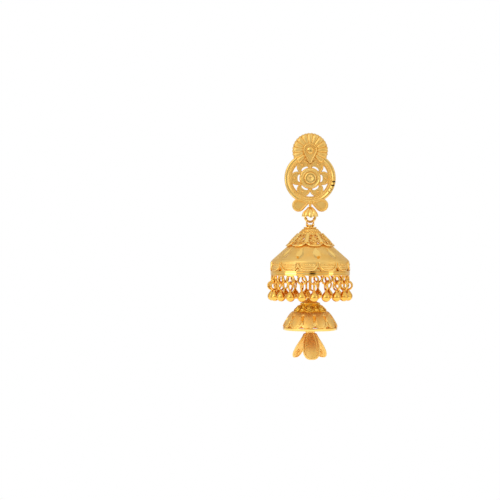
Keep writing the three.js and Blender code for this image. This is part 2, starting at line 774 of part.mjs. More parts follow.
function mesh(name, body, finish) {
  const made = body.getMesh();
  const corners = new Float32Array(3 * made.numVert);
  for (let i = 0; i < made.numVert; i++) {
    corners.set(made.vertProperties.subarray(i * made.numProp, i * made.numProp + 3), 3 * i);
  }
  const geometry = new THREE.BufferGeometry()
    .setAttribute("position", new THREE.BufferAttribute(corners, 3))
    .setIndex(new THREE.BufferAttribute(made.triVerts, 1));
  geometry.computeVertexNormals();
  const piece = new THREE.Mesh(geometry, new THREE.MeshStandardMaterial(finishes[finish]));
  piece.name = name;
  return piece;
}

function fringe() {
  const group = new THREE.Group();
  const drop = fringeDrop();
  for (let i = 0; i < dropCount; i++) {
    const azimuth = (2 * Math.PI * i) / dropCount + dropTurn;
    const piece = mesh(`drop_${String(i + 1).padStart(2, "0")}`, drop, "polished");
    piece.position.set(fringeRadius * Math.sin(azimuth), hangY - fringeRadius * Math.cos(azimuth), dropRingZ);
    piece.rotation.z = azimuth;
    group.add(piece);
  }
  return group;
}

const earring = new THREE.Group();
earring.name = "jhumka_earring";
earring.add(
  mesh("stud_front", studFront(), "satin"),
  mesh("ear_post", earPost(), "polished"),
  mesh("jump_ring", hung(wireRing(jumpRingRadius, jumpRingWire, jumpRingZ, "front", 16)), "polished"),
  mesh("bell", bell(), "satin"),
  fringe(),
  mesh("lower_bell", lowerBell(), "satin"),
  mesh("bud", bud(), "satin"),
);

export default earring;
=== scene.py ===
import json
import random
from math import acos, asin, atan2, copysign, cos, dist, hypot, pi, radians as deg, sin, sqrt

import bmesh
import bpy
from mathutils import Matrix, Vector


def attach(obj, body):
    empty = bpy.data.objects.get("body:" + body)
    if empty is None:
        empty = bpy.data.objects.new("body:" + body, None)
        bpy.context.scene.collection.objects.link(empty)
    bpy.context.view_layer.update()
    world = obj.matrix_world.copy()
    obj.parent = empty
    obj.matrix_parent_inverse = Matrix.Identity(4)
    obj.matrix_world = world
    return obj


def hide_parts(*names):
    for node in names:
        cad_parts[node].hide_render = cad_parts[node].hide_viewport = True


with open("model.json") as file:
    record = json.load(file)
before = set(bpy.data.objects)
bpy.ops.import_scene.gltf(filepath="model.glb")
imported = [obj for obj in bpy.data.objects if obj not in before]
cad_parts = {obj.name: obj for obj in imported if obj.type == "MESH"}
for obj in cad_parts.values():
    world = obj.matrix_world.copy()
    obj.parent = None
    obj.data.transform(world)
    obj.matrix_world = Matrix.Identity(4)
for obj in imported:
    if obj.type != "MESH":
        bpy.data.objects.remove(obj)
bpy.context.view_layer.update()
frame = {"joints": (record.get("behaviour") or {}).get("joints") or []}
print("frame loaded")

# The pieces are modelled in millimetres, as the frame is drawn: front -Y, up +Z, origin at the back of the
# fan where the ear post starts. Each one is brought to metres as it is finished.
toMetres = Matrix.Scale(0.001, 4)
hangDepth = -0.675  # the plane that everything hangs in
fullTurn = 2 * pi


def jointHeight(name):
    return 1000 * next(joint["pos_m"][2] for joint in frame["joints"] if joint["name"] == name)


eyeHeight = jointHeight("drop_swing")
hoopHeight = jointHeight("drop_sway")
lowerLoopHeight = jointHeight("tier_swing")
budLoopHeight = jointHeight("bud_sway")


# Placing

def shift(x, y, z):
    return Matrix.Translation((x, y, z))


def aboutX(angle):
    return Matrix.Rotation(angle, 4, "X")


def aboutY(angle):
    return Matrix.Rotation(angle, 4, "Y")


def aboutZ(angle):
    return Matrix.Rotation(angle, 4, "Z")


standing = aboutX(pi / 2)  # for a part modelled flat in XY
edgeOn = aboutZ(pi / 2)  # for a ring that shows its side to the front


def atFront(x, z, depth=0.0):  # a part modelled about its own middle, moved to a place on the stud
    return shift(x, -depth, z)


def spoke(height, depth, angle, out):  # on the stud, out from a middle and turned away from it
    return atFront(0, height, depth) @ aboutY(-angle) @ shift(out, 0, 0)


def hung(azimuth=0.0):  # a part modelled about the Z axis, turned to its azimuth in the hanging plane
    return shift(0, hangDepth, 0) @ aboutZ(azimuth)


def ringOf(count, turn=0.0):
    return [hung(fullTurn * i / count + turn) for i in range(count)]


def inEach(places, spot):
    return [place @ Matrix.Translation(spot) for place in places]


# Small operations that every piece uses

def welded(part, distance=1e-4):
    bmesh.ops.remove_doubles(part, verts=part.verts, dist=distance)
    bmesh.ops.recalc_face_normals(part, faces=part.faces)
    return part


def turned(rows, steps, closed=False, upright=True, angle=fullTurn, start=0.0):
    part = bmesh.new()
    corners = [part.verts.new((0, -r, h) if upright else (r, -h, 0)) for r, h in rows]
    edges = [part.edges.new(pair) for pair in zip(corners, corners[1:])]
    if closed:
        edges.append(part.edges.new((corners[-1], corners[0])))
    axis = (0, 0, 1) if upright else (0, 1, 0)
    geometry = corners + edges
    whole = abs(angle - fullTurn) < 1e-6
    if closed and not whole:
        geometry.append(part.faces.new(corners))
    if start:
        turn = Matrix.Rotation(start, 3, "Z" if upright else "Y")
        bmesh.ops.rotate(part, cent=(0, 0, 0), matrix=turn, verts=corners)
    bmesh.ops.spin(part, geom=geometry, cent=(0, 0, 0), axis=axis, angle=angle, steps=steps, use_merge=whole)
    return welded(part)


def ringWire(radius, wire, segments=32, sides=10):  # a ring of round wire that faces the front
    part = bmesh.new()
    section = bmesh.ops.create_circle(part, segments=sides, radius=wire / 2, cap_ends=False)
    bmesh.ops.translate(part, vec=(radius, 0, 0), verts=section["verts"])
    bmesh.ops.spin(part, geom=part.verts[:] + part.edges[:], cent=(0, 0, 0), axis=(0, 1, 0),
                   angle=fullTurn, steps=segments, use_merge=True)
    bmesh.ops.recalc_face_normals(part, faces=part.faces)
    return part


def wireAlong(points, radius, closed=False, resolution=2, flatten=0.0):
    curve = bpy.data.curves.new("wire", "CURVE")
    curve.dimensions = "3D"
    curve.twist_mode = "Z_UP"
    curve.bevel_depth = radius
    curve.bevel_resolution = resolution
    curve.extrude = flatten
    curve.use_fill_caps = not closed
    line = curve.splines.new("POLY")
    line.points.add(len(points) - 1)
    for spot, point in zip(line.points, points):
        spot.co = (*point, 1.0)
    line.use_cyclic_u = closed
    holder = bpy.data.objects.new("wire", curve)
    data = bpy.data.meshes.new_from_object(holder)
    part = bmesh.new()
    part.from_mesh(data)
    bpy.data.objects.remove(holder)
    bpy.data.curves.remove(curve)
    bpy.data.meshes.remove(data)
    return welded(part)


def grain(radius, stretch=(1, 1, 1), segments=8, rings=6):
    part = bmesh.new()
    bmesh.ops.create_uvsphere(part, u_segments=segments, v_segments=rings, radius=radius)
    bmesh.ops.scale(part, vec=stretch, verts=part.verts)
    return part


def include(piece, part, places=None, finish=None):
    if finish is not None:
        for face in part.faces:
            face.material_index = finish
    for place in places or [Matrix()]:
        data = bpy.data.meshes.new("part")
        part.to_mesh(data)
        data.transform(place)
        if place.determinant() < 0:
            data.flip_normals()
        piece.from_mesh(data)
        bpy.data.meshes.remove(data)
    part.free()


def slab(outline, back, front, edge=0.0, segments=2):  # a flat outline made solid, its front edge rounded
    part = bmesh.new()
    face = part.faces.new([part.verts.new((x, -back, z)) for x, z in outline])
    grown = bmesh.ops.extrude_face_region(part, geom=[face], use_keep_orig=True)
    moved = [item for item in grown["geom"] if isinstance(item, bmesh.types.BMVert)]
    bmesh.ops.translate(part, vec=(0, back - front, 0), verts=moved)
    bmesh.ops.recalc_face_normals(part, faces=part.faces)
    if edge:
        tops = set(moved)
        rim = [e for e in part.edges if e.verts[0] in tops and e.verts[1] in tops]
        bmesh.ops.bevel(part, geom=rim, offset=edge, segments=segments, profile=0.5, affect="EDGES",
                        material=-1)
    return part


def openSheet(outline, holes=(), across=(), down=()):  # flat in XY, holed, cut by lines so that it can bend
    sheet = bmesh.new()
    edges = []
    for loop in [outline, *holes]:
        corners = [sheet.verts.new((x, y, 0)) for x, y in loop]
        edges += [sheet.edges.new((corners[i - 1], corners[i])) for i in range(len(corners))]
    bmesh.ops.triangle_fill(sheet, use_beauty=True, use_dissolve=False, edges=edges)
    cuts = [((x, 0, 0), (1, 0, 0)) for x in across] + [((0, y, 0), (0, 1, 0)) for y in down]
    for spot, facing in cuts:
        everything = sheet.verts[:] + sheet.edges[:] + sheet.faces[:]
        bmesh.ops.bisect_plane(sheet, geom=everything, dist=1e-5, plane_co=spot, plane_no=facing)
    return sheet


def bent(part, bend):
    for corner in part.verts:
        corner.co = bend(corner.co)
    return part


def panel(half, length, columns, rows, outline, holes, bend):  # an open sheet cut in columns and rows
    across = [half * k / columns for k in range(1 - columns, columns)]
    down = [length * k / rows for k in range(1, rows)]
    return bent(openSheet(outline, holes, across, down), bend)


def grid(columns, rows, bend):  # a sheet from -1 to 1 both ways, bent to its place
    sheet = bmesh.new()
    bmesh.ops.create_grid(sheet, x_segments=columns, y_segments=rows, size=1.0)
    return bent(sheet, bend)


def outward(part, thickness=0.0, paintedShadeFinish=None):  # a sheet round the Z axis, faced away from it, then thickened
    welded(part, 1e-3)
    middles = [(face, face.calc_center_median()) for face in part.faces]
    if sum(face.normal.x * middle.x + face.normal.y * middle.y for face, middle in middles) < 0:
        bmesh.ops.reverse_faces(part, faces=part.faces)
    if thickness:
        bmesh.ops.solidify(part, geom=part.faces[:], thickness=thickness)
    if paintedShadeFinish is not None:  # painted shade: the hollow side takes a darker finish in place of its shade
        part.normal_update()
        for face in part.faces:
            middle = face.calc_center_median()
            if face.normal.x * middle.x + face.normal.y * middle.y < -0.25 * hypot(middle.x, middle.y):
                face.material_index = paintedShadeFinish
    return part


def shellOf(count, sheet, thickness):  # one panel repeated round the axis
    shell = bmesh.new()
    include(shell, sheet, [aboutZ(fullTurn * i / count) for i in range(count)])
    # the inside faces take finish 2, painted shade
    return outward(shell, thickness, paintedShadeFinish=2)


def placed(name, data):
    holder = bpy.data.objects.new(name, data)
    bpy.context.scene.collection.objects.link(holder)
    return holder


def carved(part, tool):  # the tool's shape taken out of the part
    solids = []
    for shape in (part, tool):
        data = bpy.data.meshes.new("carving")
        shape.to_mesh(data)
        shape.free()
        solids.append(placed("carving", data))
    blank, knife = solids
    cut = blank.modifiers.new("cut", "BOOLEAN")
    cut.operation = "DIFFERENCE"
    cut.object = knife
    bpy.context.view_layer.update()
    result = bmesh.new()
    result.from_mesh(blank.evaluated_get(bpy.context.evaluated_depsgraph_get()).to_mesh())
    for solid in solids:
        data = solid.data
        bpy.data.objects.remove(solid)
        bpy.data.meshes.remove(data)
    return result


def finishPiece(name, make, finishes, body, node, crease):
    piece = bmesh.new()
    make(piece)
    piece.transform(toMetres)
    data = bpy.data.meshes.new(name)
    piece.to_mesh(data)
    piece.free()
    for finish in finishes:
        data.materials.append(finish)
    data.polygons.foreach_set("use_smooth", [True] * len(data.polygons))
    data.set_sharp_from_angle(angle=deg(crease))
    shown = placed(name, data)
    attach(shown, body)
    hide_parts(node)


def finishPieces(body, node, slotName, crease, *rows):
    for name, make, finishes in rows:
        finishPiece(name, make, finishes, body, node, crease)


def mixed(a, b, share):
    return a + (b - a) * share


def steps(low, high, count):
    return [mixed(low, high, i / count) for i in range(count + 1)]


def arc(x, y, radius, start, end, count):
    return [(x + radius * cos(t), y + radius * sin(t)) for t in steps(start, end, count)]


def stepped(r, top, rows):  # the rows of a turned profile, measured from a radius and a height
    return [(r + x, top + z) for x, z in rows]


def mirrored(edge):  # a right edge and its mirror image, joined at its last point
    return edge + [(-x, y) for x, y in edge[-2::-1]]


def eyeRing(piece, radius, wire, height, facing=Matrix(), x=0.0):
    include(piece, ringWire(radius, wire, 32, 12), [shift(x, hangDepth, height) @ facing])


# Finishes

goldTones = {  # a tone, and the warmer one that it clouds into
    "satin": ((0.89, 0.59, 0.185, 1), (0.87, 0.52, 0.125, 1)),
    "soft": ((0.89, 0.59, 0.185, 1), (0.92, 0.55, 0.13, 1)),
    "polished": ((0.94, 0.65, 0.21, 1), (0.92, 0.55, 0.13, 1)),
    # painted light: a brighter, richer copy of the gold that lifts the lower cap and rosette tier out of the
    # shade under the bell
    "rich": ((1.0, 0.70, 0.13, 1), (0.99, 0.62, 0.09, 1)),
    # painted shade: a darker, oranger copy of the polished gold for the fringe drops and rim rings, for the
    # shade under the bell's rim
    "deep": ((0.88, 0.54, 0.12, 1), (0.86, 0.45, 0.07, 1)),
    # painted shade: a darker, oranger copy of the gold for inside faces, hollows and the stem inside the
    # bell, standing in for their shade
    "hollow": ((0.86, 0.41, 0.045, 1), (0.76, 0.32, 0.028, 1)),
}
goldGrains = {  # lowest and highest roughness, then the scale, depth and height in metres of the grain
    "sanded": (0.36, 0.50, 9000.0, 0.22, 0.00003),
    "bright": (0.05, 0.15, 2600.0, 0.05, 0.00003),
    "matte": (0.40, 0.55, 5200.0, 0.45, 0.00005),
    "brushed": (0.20, 0.30, 3400.0, 0.08, 0.00003),
    "raw": (0.38, 0.52, 5200.0, 0.2, 0.00003),
}


def shaderNode(nodes, kind, values, **settings):
    node = nodes.new("ShaderNode" + kind)
    for name, value in settings.items():
        setattr(node, name, value)
    for socket, value in values.items():
        node.inputs[socket].default_value = value
    return node


def join(source, output, target, socket):
    source.id_data.links.new(source.outputs[output], target.inputs[socket])


def goldFinish(name, tones, grains):
    colour, warm = goldTones[tones]
    smooth, rough, grainScale, grainDepth, grainHeight = goldGrains[grains]
    finish = bpy.data.materials.new(name)
    finish.use_nodes = True
    nodes = finish.node_tree.nodes
    shader = nodes["Principled BSDF"]
    shader.inputs["Metallic"].default_value = 1.0
    place = nodes.new("ShaderNodeTexCoord")
    cloud = shaderNode(nodes, "TexNoise", {"Scale": 420.0, "Detail": 3.0})  # slow change of tone
    spread = shaderNode(nodes, "MapRange", {"From Min": 0.35, "From Max": 0.75})
    tone = shaderNode(nodes, "Mix", {"A": colour, "B": warm}, data_type="RGBA")
    join(place, "Object", cloud, "Vector")
    join(cloud, "Fac", spread, "Value")
    join(spread, "Result", tone, "Factor")
    join(tone, "Result", shader, "Base Color")
    sand = shaderNode(nodes, "TexNoise", {"Scale": grainScale, "Detail": 2.0})  # the blasted or brushed grain
    roughness = shaderNode(nodes, "MapRange", {"To Min": smooth, "To Max": rough})
    bump = shaderNode(nodes, "Bump", {"Strength": grainDepth, "Distance": grainHeight})
    join(place, "Object", sand, "Vector")
    join(sand, "Fac", roughness, "Value")
    join(roughness, "Result", shader, "Roughness")
    join(sand, "Fac", bump, "Height")
    join(bump, "Normal", shader, "Normal")
    return finish


goldSatin = goldFinish("goldSatin", "satin", "sanded")
goldPolished = goldFinish("goldPolished", "polished", "bright")
goldLitRich = goldFinish("goldLitRich", "rich", "sanded")
goldShadedDeep = goldFinish("goldShadedDeep", "deep", "bright")
goldMatte = goldFinish("goldMatte", "satin", "matte")
goldSoft = goldFinish("goldSoft", "soft", "brushed")
# painted shade for inside faces and hollows
goldPaintedShade = goldFinish("goldPaintedShade", "hollow", "raw")
print("finishes made")

# Fan at the top of the stud

fan = {
    "radius": 4.35, "thickness": 1.15,
    "opening": deg(78),  # the sector left out at the foot
    "beads": 26, "beadMargin": deg(7), "beadRadius": 0.42, "flutes": 13, "fluteLength": 2.72,
    "fluteWidth": 1.3, "fluteHeight": 0.46, "bezelRadius": 1.76, "bezelLift": 0.12,
    "bezelLength": 3.3, "bezelFront": 1.75, "bezelWire": 0.21, "floorFront": 1.36,
    "buttonRadius": 0.92,
}


def pearOutline(radius, length, tip, count=28):  # a round end about the origin, a blunt point below it
    lean = -asin((radius - tip) / (length - tip))
    top = arc(0, 0, radius, lean, pi - lean, count)
    foot = arc(0, tip - length, tip, pi - lean, fullTurn + lean, 8)
    return top + foot


def flute():
    part = grain(1.0, segments=20, rings=12)
    for corner in part.verts:
        x, y, z = corner.co
        along = copysign(abs(x) ** 0.45, x)
        corner.co = (along * fan["fluteLength"] / 2, y * fan["fluteHeight"],
                     z * fan["fluteWidth"] / 2 * (1 + 0.36 * along))
    return part


def fanPlate(piece):
    r, front, opening = fan["radius"], fan["thickness"], fan["opening"]
    rows = [(0.9, 0), (r - 0.12, 0), (r, 0.14), (r, front - 0.42), (r - 0.1, front - 0.26),
            (0.9, front - 0.2)]
    include(piece, turned(rows, 90, closed=True, upright=False, angle=fullTurn - opening,
                          start=opening / 2 - 1.5 * pi))
    first = -pi / 2 + opening / 2
    margin, last = fan["beadMargin"], fan["beads"] - 1
    for i in range(fan["beads"]):
        angle = first + margin + (fullTurn - opening - 2 * margin) * i / last
        bead = grain(fan["beadRadius"], (1, 1.25, 1.05), 14, 10)
        include(piece, bead, [spoke(0, front * 0.5, angle, r - 0.29)])
    step = (fullTurn - opening) / fan["flutes"]
    out = r - 0.13 - fan["fluteLength"] / 2
    for i in range(fan["flutes"]):
        include(piece, flute(), [spoke(0, front - 0.16, first + step * (i + 0.5), out)])


def pearBezel(piece):
    wire, lift = fan["bezelWire"], fan["bezelLift"]
    outline = pearOutline(fan["bezelRadius"] - wire, fan["bezelLength"] - wire, 0.3, 40)
    include(piece, slab(outline, 0.02, fan["floorFront"]), [atFront(0, lift)], finish=1)
    rim = wireAlong([(x, z, 0) for x, z in outline], wire, closed=True, resolution=3, flatten=0.2)
    include(piece, rim, [atFront(0, lift, fan["bezelFront"] - wire - 0.2) @ standing])
    button = grain(fan["buttonRadius"], (1, 0.46, 1), 40, 20)
    pit = grain(0.19, (1, 3.2, 0.8), 16, 12)
    bmesh.ops.translate(pit, vec=(-0.52, -0.32, -0.1), verts=pit.verts)
    include(piece, carved(button, pit), [atFront(0, lift / 2, fan["floorFront"])])


finishPieces("stud", "stud_front", "gold_satin", 40,
             ("fan_disc", fanPlate, [goldSatin]),
             ("pear_bezel", pearBezel, [goldSoft, goldMatte]))
print("fan done")

# Flower ring

flower = {
    "height": -6.85, "radius": 6.4, "thickness": 1.12, "bandInner": 5.55, "milledInner": 4.56,
    "milledTeeth": 88, "plateFront": 0.7, "lobes": 6, "lobeRadius": 1.67, "lobeAway": 3.26,
    "rimWire": 0.2, "granule": 0.34, "bossRadius": 2.62, "crescentInner": 2.68,
    "crescentOuter": 3.14, "crescentHalf": deg(21),
    "cuts": [(-8.7, 0), (-17.8, 0), (-27, 16), (-36, 16)],  # their bearings, and how far each is tipped
    "cutWidth": 0.4,
}


def flowerBand(piece):
    inner, outer, front = flower["bandInner"], flower["radius"], flower["thickness"]
    rows = [(inner - 0.08, 0.03), (outer - 0.1, 0.03), (outer, 0.13), (outer, front * 0.62),
            (outer - 0.05, front * 0.8), (outer - 0.16, front * 0.94), (outer - 0.34, front),
            (outer - 0.54, front), (outer - 0.72, front * 0.95), (inner - 0.08, front * 0.84)]
    band = turned(rows, 160, closed=True, upright=False)
    knives = bmesh.new()
    for bearing, tip in flower["cuts"]:
        knife = bmesh.new()
        bmesh.ops.create_cube(knife, size=1.0)
        bmesh.ops.scale(knife, vec=(0.8, 1.0, flower["cutWidth"]), verts=knife.verts)
        place = aboutY(deg(-bearing)) @ shift(outer - 0.48, -0.3 - front, 0)
        include(knives, knife, [place @ aboutY(deg(-16)) @ aboutX(deg(tip))], finish=1)
    include(piece, carved(band, knives), [atFront(0, flower["height"])])


def milledRing(piece):
    inner, outer, teeth = flower["milledInner"], flower["bandInner"], flower["milledTeeth"]
    step = inner + 0.26
    middle = (step + outer) / 2
    rows = [(inner, 0.05), (outer, 0.05), (outer, 0.88), (outer - 0.08, 0.94), (middle, 0.96),
            (step + 0.08, 0.94), (step, 0.9), (step - 0.06, 1.0), (inner + 0.08, 1.0), (inner, 0.92)]
    include(piece, turned(rows, 120, closed=True, upright=False), [atFront(0, flower["height"])])
    for i in range(teeth):
        place = spoke(flower["height"], 0.95, fullTurn * i / teeth, middle)
        include(piece, grain(0.14, (2.4, 0.8, 1.05), 8, 5), [place @ aboutY(deg(20))])


def polar(radius, angle):
    return (radius * cos(angle), radius * sin(angle))


def sweep(centre, start, end, count):  # the short arc about a centre, without its last point
    a, b = [atan2(point[1] - centre[1], point[0] - centre[0]) for point in (start, end)]
    b = a + (b - a + pi) % fullTurn - pi
    return arc(*centre, dist(centre, start), a, b, count)[:-1]


def flowerPlate(piece):
    lobe, away, height = flower["lobeRadius"], flower["lobeAway"], flower["height"]
    band, front = flower["milledInner"] + 0.03, flower["plateFront"]
    near, far, half = flower["crescentInner"], flower["crescentOuter"], flower["crescentHalf"]
    reach = lobe + 0.02
    meet = away * cos(deg(30)) + sqrt(reach ** 2 - (away * sin(deg(30))) ** 2)
    limit = acos((away ** 2 + band ** 2 - reach ** 2) / (2 * away * band))
    holes = []
    bases = [deg(60) * i for i in range(flower["lobes"])]
    for i, base in enumerate(bases):
        apex = polar(meet, base + deg(30))
        shore, other = polar(band, base + limit), polar(band, base + deg(60) - limit)
        if i != 1:  # the one at the top is closed, under the fan
            holes.append(sweep(polar(away, base), apex, shore, 8) + sweep((0, 0), shore, other, 8)
                         + sweep(polar(away, base + deg(60)), other, apex, 8))
        outer = [polar(near + (far - near) * (1 - (2 * k / 10 - 1) ** 4), base + mixed(-half, half, k / 10))
                 for k in range(11)]
        holes.append(outer + arc(0, 0, near - 0.02, base + half * 0.86, base - half * 0.86, 8))
    sheet = openSheet(arc(0, 0, flower["milledInner"] + 0.2, 0, fullTurn * 119 / 120, 119), holes)
    sheet.transform(standing)
    bmesh.ops.recalc_face_normals(sheet, faces=sheet.faces)
    if sum(f.normal.y * f.calc_area() for f in sheet.faces) > 0:
        bmesh.ops.reverse_faces(sheet, faces=sheet.faces)
    bmesh.ops.solidify(sheet, geom=sheet.faces[:], thickness=front - 0.04)
    include(piece, sheet, [atFront(0, height, front)], finish=1)
    for base in bases:
        x, z = polar(away, base)
        rim = [(px, pz, 0) for px, pz in arc(x, z, lobe - 0.2, base - deg(148), base + deg(148), 40)]
        include(piece, wireAlong(rim, flower["rimWire"], resolution=3, flatten=0.03),
                [atFront(0, height, front + 0.06) @ standing])
        x, z = polar(away + 0.36 * lobe, base)
        include(piece, grain(flower["granule"], (1, 0.8, 1), 18, 12), [atFront(x, height + z, front)])


def boss(piece):
    rim = [(-0.05, 0.02), (0, 0.1), (0, 1.3), (-0.04, 1.45), (-0.14, 1.57), (-0.3, 1.62), (-0.42, 1.59),
           (-0.52, 1.51), (-0.62, 1.5), (-0.74, 1.57), (-0.95, 1.58), (-1.03, 1.47), (-1.1, 1.48),
           (-1.15, 1.66), (-1.26, 1.8), (-1.42, 1.86), (-1.66, 1.88), (-1.9, 1.84), (-2.06, 1.76),
           (-2.14, 1.66), (-2.26, 1.6)]
    rows = [(0, 0.02)] + stepped(flower["bossRadius"], 0, rim) + [(0, 1.57)]
    include(piece, turned(rows, 96, upright=False), [atFront(0, flower["height"])])


finishPieces("stud", "stud_front", "gold_satin", 40,
             ("flower_band", flowerBand, [goldSoft, goldPolished]),
             ("milled_ring", milledRing, [goldSatin]),
             ("flower_plate", flowerPlate, [goldSatin, goldMatte]),
             ("stepped_boss", boss, [goldSoft]))
print("flower ring done")

# Leaves, clasp, hood and the eye behind it

leafPair = {
    "height": -13.591, "away": 2.9, "radius": 1.62, "length": 2.5, "lean": deg(14),
    "front": 1.35, "floor": 1.1, "wire": 0.3,
}
hood = {
    "profile": [(0.001, -13.98), (0.48, -14.0), (0.74, -14.1), (1.08, -14.4), (1.42, -14.75), (1.72, -15.1),
                (1.94, -15.5), (2.08, -15.9), (2.12, -16.15), (2.12, -16.38)],
    "flutes": 8,
    "turn": deg(3),
    "fluteDepth": 0.34,
    "scallop": 0.1,
    "wall": 0.16,
    "cutDepth": 1.2,
}


def leaves(piece):
    wire = leafPair["wire"]
    outline = pearOutline(leafPair["radius"] - wire, leafPair["length"] - wire, 0.28, 32)
    for side in (-1, 1):
        lean = side * (pi / 2 + leafPair["lean"])
        place = atFront(side * leafPair["away"], leafPair["height"]) @ aboutY(lean)
        include(piece, slab(outline, 0.1, leafPair["floor"]), [place], finish=1)
        rim = wireAlong([(x, z, 0) for x, z in outline], wire, closed=True, resolution=4, flatten=0.14)
        include(piece, rim, [place @ shift(0, wire + 0.14 - leafPair["front"], 0) @ standing])
        skirt = pearOutline(leafPair["radius"] - 0.03, leafPair["length"] - 0.03, 0.4, 32)
        include(piece, slab(skirt, 0.06, leafPair["front"] - 0.42), [place])


def clasp(piece):
    bar = [(-0.34, -14.3), (0.34, -14.3), (0.3, -13.1), (0.2, -12.6), (-0.2, -12.6), (-0.3, -13.1)]
    include(piece, slab(bar, 0.09, 1.12, edge=0.12))
    for side in (-1, 1):
        tab = grain(0.26, (0.9, 0.9, 1.75), 14, 10)
        include(piece, tab, [atFront(side * 0.25, -12.98, 1.2) @ aboutY(side * deg(-14))])
    include(piece, grain(0.24, (0.8, 0.9, 1.5), 12, 8), [atFront(0, -13.5, 1.2)])


def flutedHood(piece):
    top, bottom = hood["profile"][0][1], hood["profile"][-1][1]
    shell = turned(hood["profile"], hood["flutes"] * 14)
    for corner in shell.verts:
        x, y, z = corner.co
        bearing = atan2(x, -y) - hood["turn"]
        wave = abs(cos(hood["flutes"] * bearing / 2)) ** 0.6
        down = (top - z) / (top - bottom)
        share = 1 + hood["fluteDepth"] * (wave - 0.8) * min(1, 3 * down) / max(hypot(x, y), 0.5)
        middle = 0.26 * max(0.0, cos(2 * bearing)) ** 3
        corner.co = (x * share, y * share, z - (hood["scallop"] + middle) * wave * down ** 8)
    outward(shell, hood["wall"])
    shell.transform(shift(0, hangDepth, 0))
    everything = shell.verts[:] + shell.edges[:] + shell.faces[:]
    cut = bmesh.ops.bisect_plane(shell, geom=everything, dist=1e-5, plane_co=(0, 0.05 - hood["cutDepth"], 0),
                                 plane_no=(0, 1, 0), clear_outer=True)
    ends = [item for item in cut["geom_cut"] if isinstance(item, bmesh.types.BMEdge)]
    bmesh.ops.triangle_fill(shell, use_beauty=True, use_dissolve=False, edges=ends)
    bmesh.ops.recalc_face_normals(shell, faces=shell.faces)
    include(piece, shell)


def hiddenEye(piece):
    eyeRing(piece, 0.63, 0.42, eyeHeight, edgeOn)
    stalk = [(-0.4, -14.9), (0.4, -14.9), (0.4, -14.2), (-0.4, -14.2)]
    include(piece, slab(stalk, 0.3, 1.3, edge=0.1))


finishPieces("stud", "stud_front", "gold_satin", 40,
             ("leaf_pair", leaves, [goldSatin, goldMatte]),
             ("leaf_clasp", clasp, [goldPolished]))
finishPieces("stud", "stud_front", "gold_satin", 30, ("fluted_hood", flutedHood, [goldPolished]))
finishPieces("stud", "stud_front", "gold_satin", 40, ("stud_eye", hiddenEye, [goldPolished]))
print("leaves and hood done")

# Ear post and jump ring

postPin = {"foot": 1.6, "radius": 0.45, "length": 10.5, "start": -0.24}
jumpRing = {"radius": 1.25, "wire": 0.6}


def earPost(piece):
    r, foot, length, start = postPin["radius"], postPin["foot"], postPin["length"], postPin["start"]
    rows = [(0, start), (foot - 0.06, start), (foot, start + 0.06), (foot, start + 0.44),
            (foot - 0.08, start + 0.5), (r + 0.14, start + 0.52), (r + 0.03, start + 0.6), (r, start + 0.75),
            (r, length - 1.62), (0.72 * r, length - 1.46), (0.72 * r, length - 1.16), (r, length - 1.0),
            (0.9 * r, length - 0.5), (0.66 * r, length - 0.12), (0.4 * r, length - 0.02), (0, length)]
    include(piece, turned([(radius, -back) for radius, back in rows], 40, upright=False))


def hoopWire(piece):
    include(piece, ringWire(jumpRing["radius"], jumpRing["wire"], 64, 20), [shift(0, hangDepth, hoopHeight)])


finishPieces("stud", "ear_post", "gold_polished", 40, ("post_pin", earPost, [goldPolished]))
finishPieces("hoop", "jump_ring", "gold_polished", 40, ("hoop_wire", hoopWire, [goldPolished]))
print("post and jump ring done")

# Bell

bellForm = {
    "turn": deg(-6), "lobes": 12, "domeTop": -19.037, "tierTop": -20.637, "coneTop": -23.737,
    "shoulderTop": -27.137, "wallTop": -27.737, "rimTop": -29.887, "rimBottom": -30.987,
    "radius": 9.75, "coneRadius": 9.4, "wall": 0.4,
}
tierForm = {"petals": 8, "turn": deg(9), "topRadius": 2.95, "bottomRadius": 6.0, "wire": 0.15,
            "shoulder": 2.75, "ribLength": 3.15, "flowerDown": 2.2}


def onCone(topRadius, topHeight, bottomRadius, bottomHeight, unit):
    slope = Vector((bottomRadius - topRadius, bottomHeight - topHeight))
    length = slope.length
    slope.normalize()

    def place(x, down, lift=0.0):  # x is along the turn, in the panel's own millimetres
        radius = topRadius + slope.x * down - slope.y * lift
        height = topHeight + slope.y * down + slope.x * lift
        azimuth = x / unit
        return Vector((radius * sin(azimuth), -radius * cos(azimuth), height))

    return place, length


tierUnit = 4.5
onTier, tierLength = onCone(tierForm["topRadius"], bellForm["tierTop"], tierForm["bottomRadius"],
                            bellForm["coneTop"], tierUnit)


def tierRadiusAt(down):
    return mixed(tierForm["topRadius"], tierForm["bottomRadius"], down / tierLength)


# Holes of one filigree petal: place along the turn and down the slope, half width and half height, its lean
petalHoles = [
    {"x": 0.50, "down": 0.80, "wide": 0.32, "high": 0.42, "lean": 0.25},
    {"x": 0.84, "down": 1.74, "wide": 0.31, "high": 0.43, "lean": -0.15},
    {"x": 1.27, "down": 2.62, "wide": 0.24, "high": 0.36, "lean": 0.0},
    {"x": 0.72, "down": 3.28, "wide": 0.50, "high": 0.46, "lean": 0.5},
]


def holeLoop(hole, side, grow=0.0, count=14):
    loop = []
    for i in range(count):
        t = fullTurn * i / count
        dx = (hole["wide"] + grow) * cos(t) * (1 + 0.18 * sin(t))
        dy = (hole["high"] + grow) * sin(t)
        lean = hole["lean"]
        dx, dy = dx * cos(lean) - dy * sin(lean), dx * sin(lean) + dy * cos(lean)
        down = hole["down"] + dy
        loop.append((side * (hole["x"] + dx) * tierUnit / tierRadiusAt(hole["down"]), down))
    return loop


def petalEdge(count=14):  # right half of the U at a petal's foot, from its shoulder to its lowest point
    half = pi / tierForm["petals"] * tierUnit
    start = tierForm["shoulder"]
    return [(half * cos(t) ** 0.8, start + (tierLength - start - 0.02) * sin(t) ** 0.9)
            for t in steps(0, pi / 2, count)]


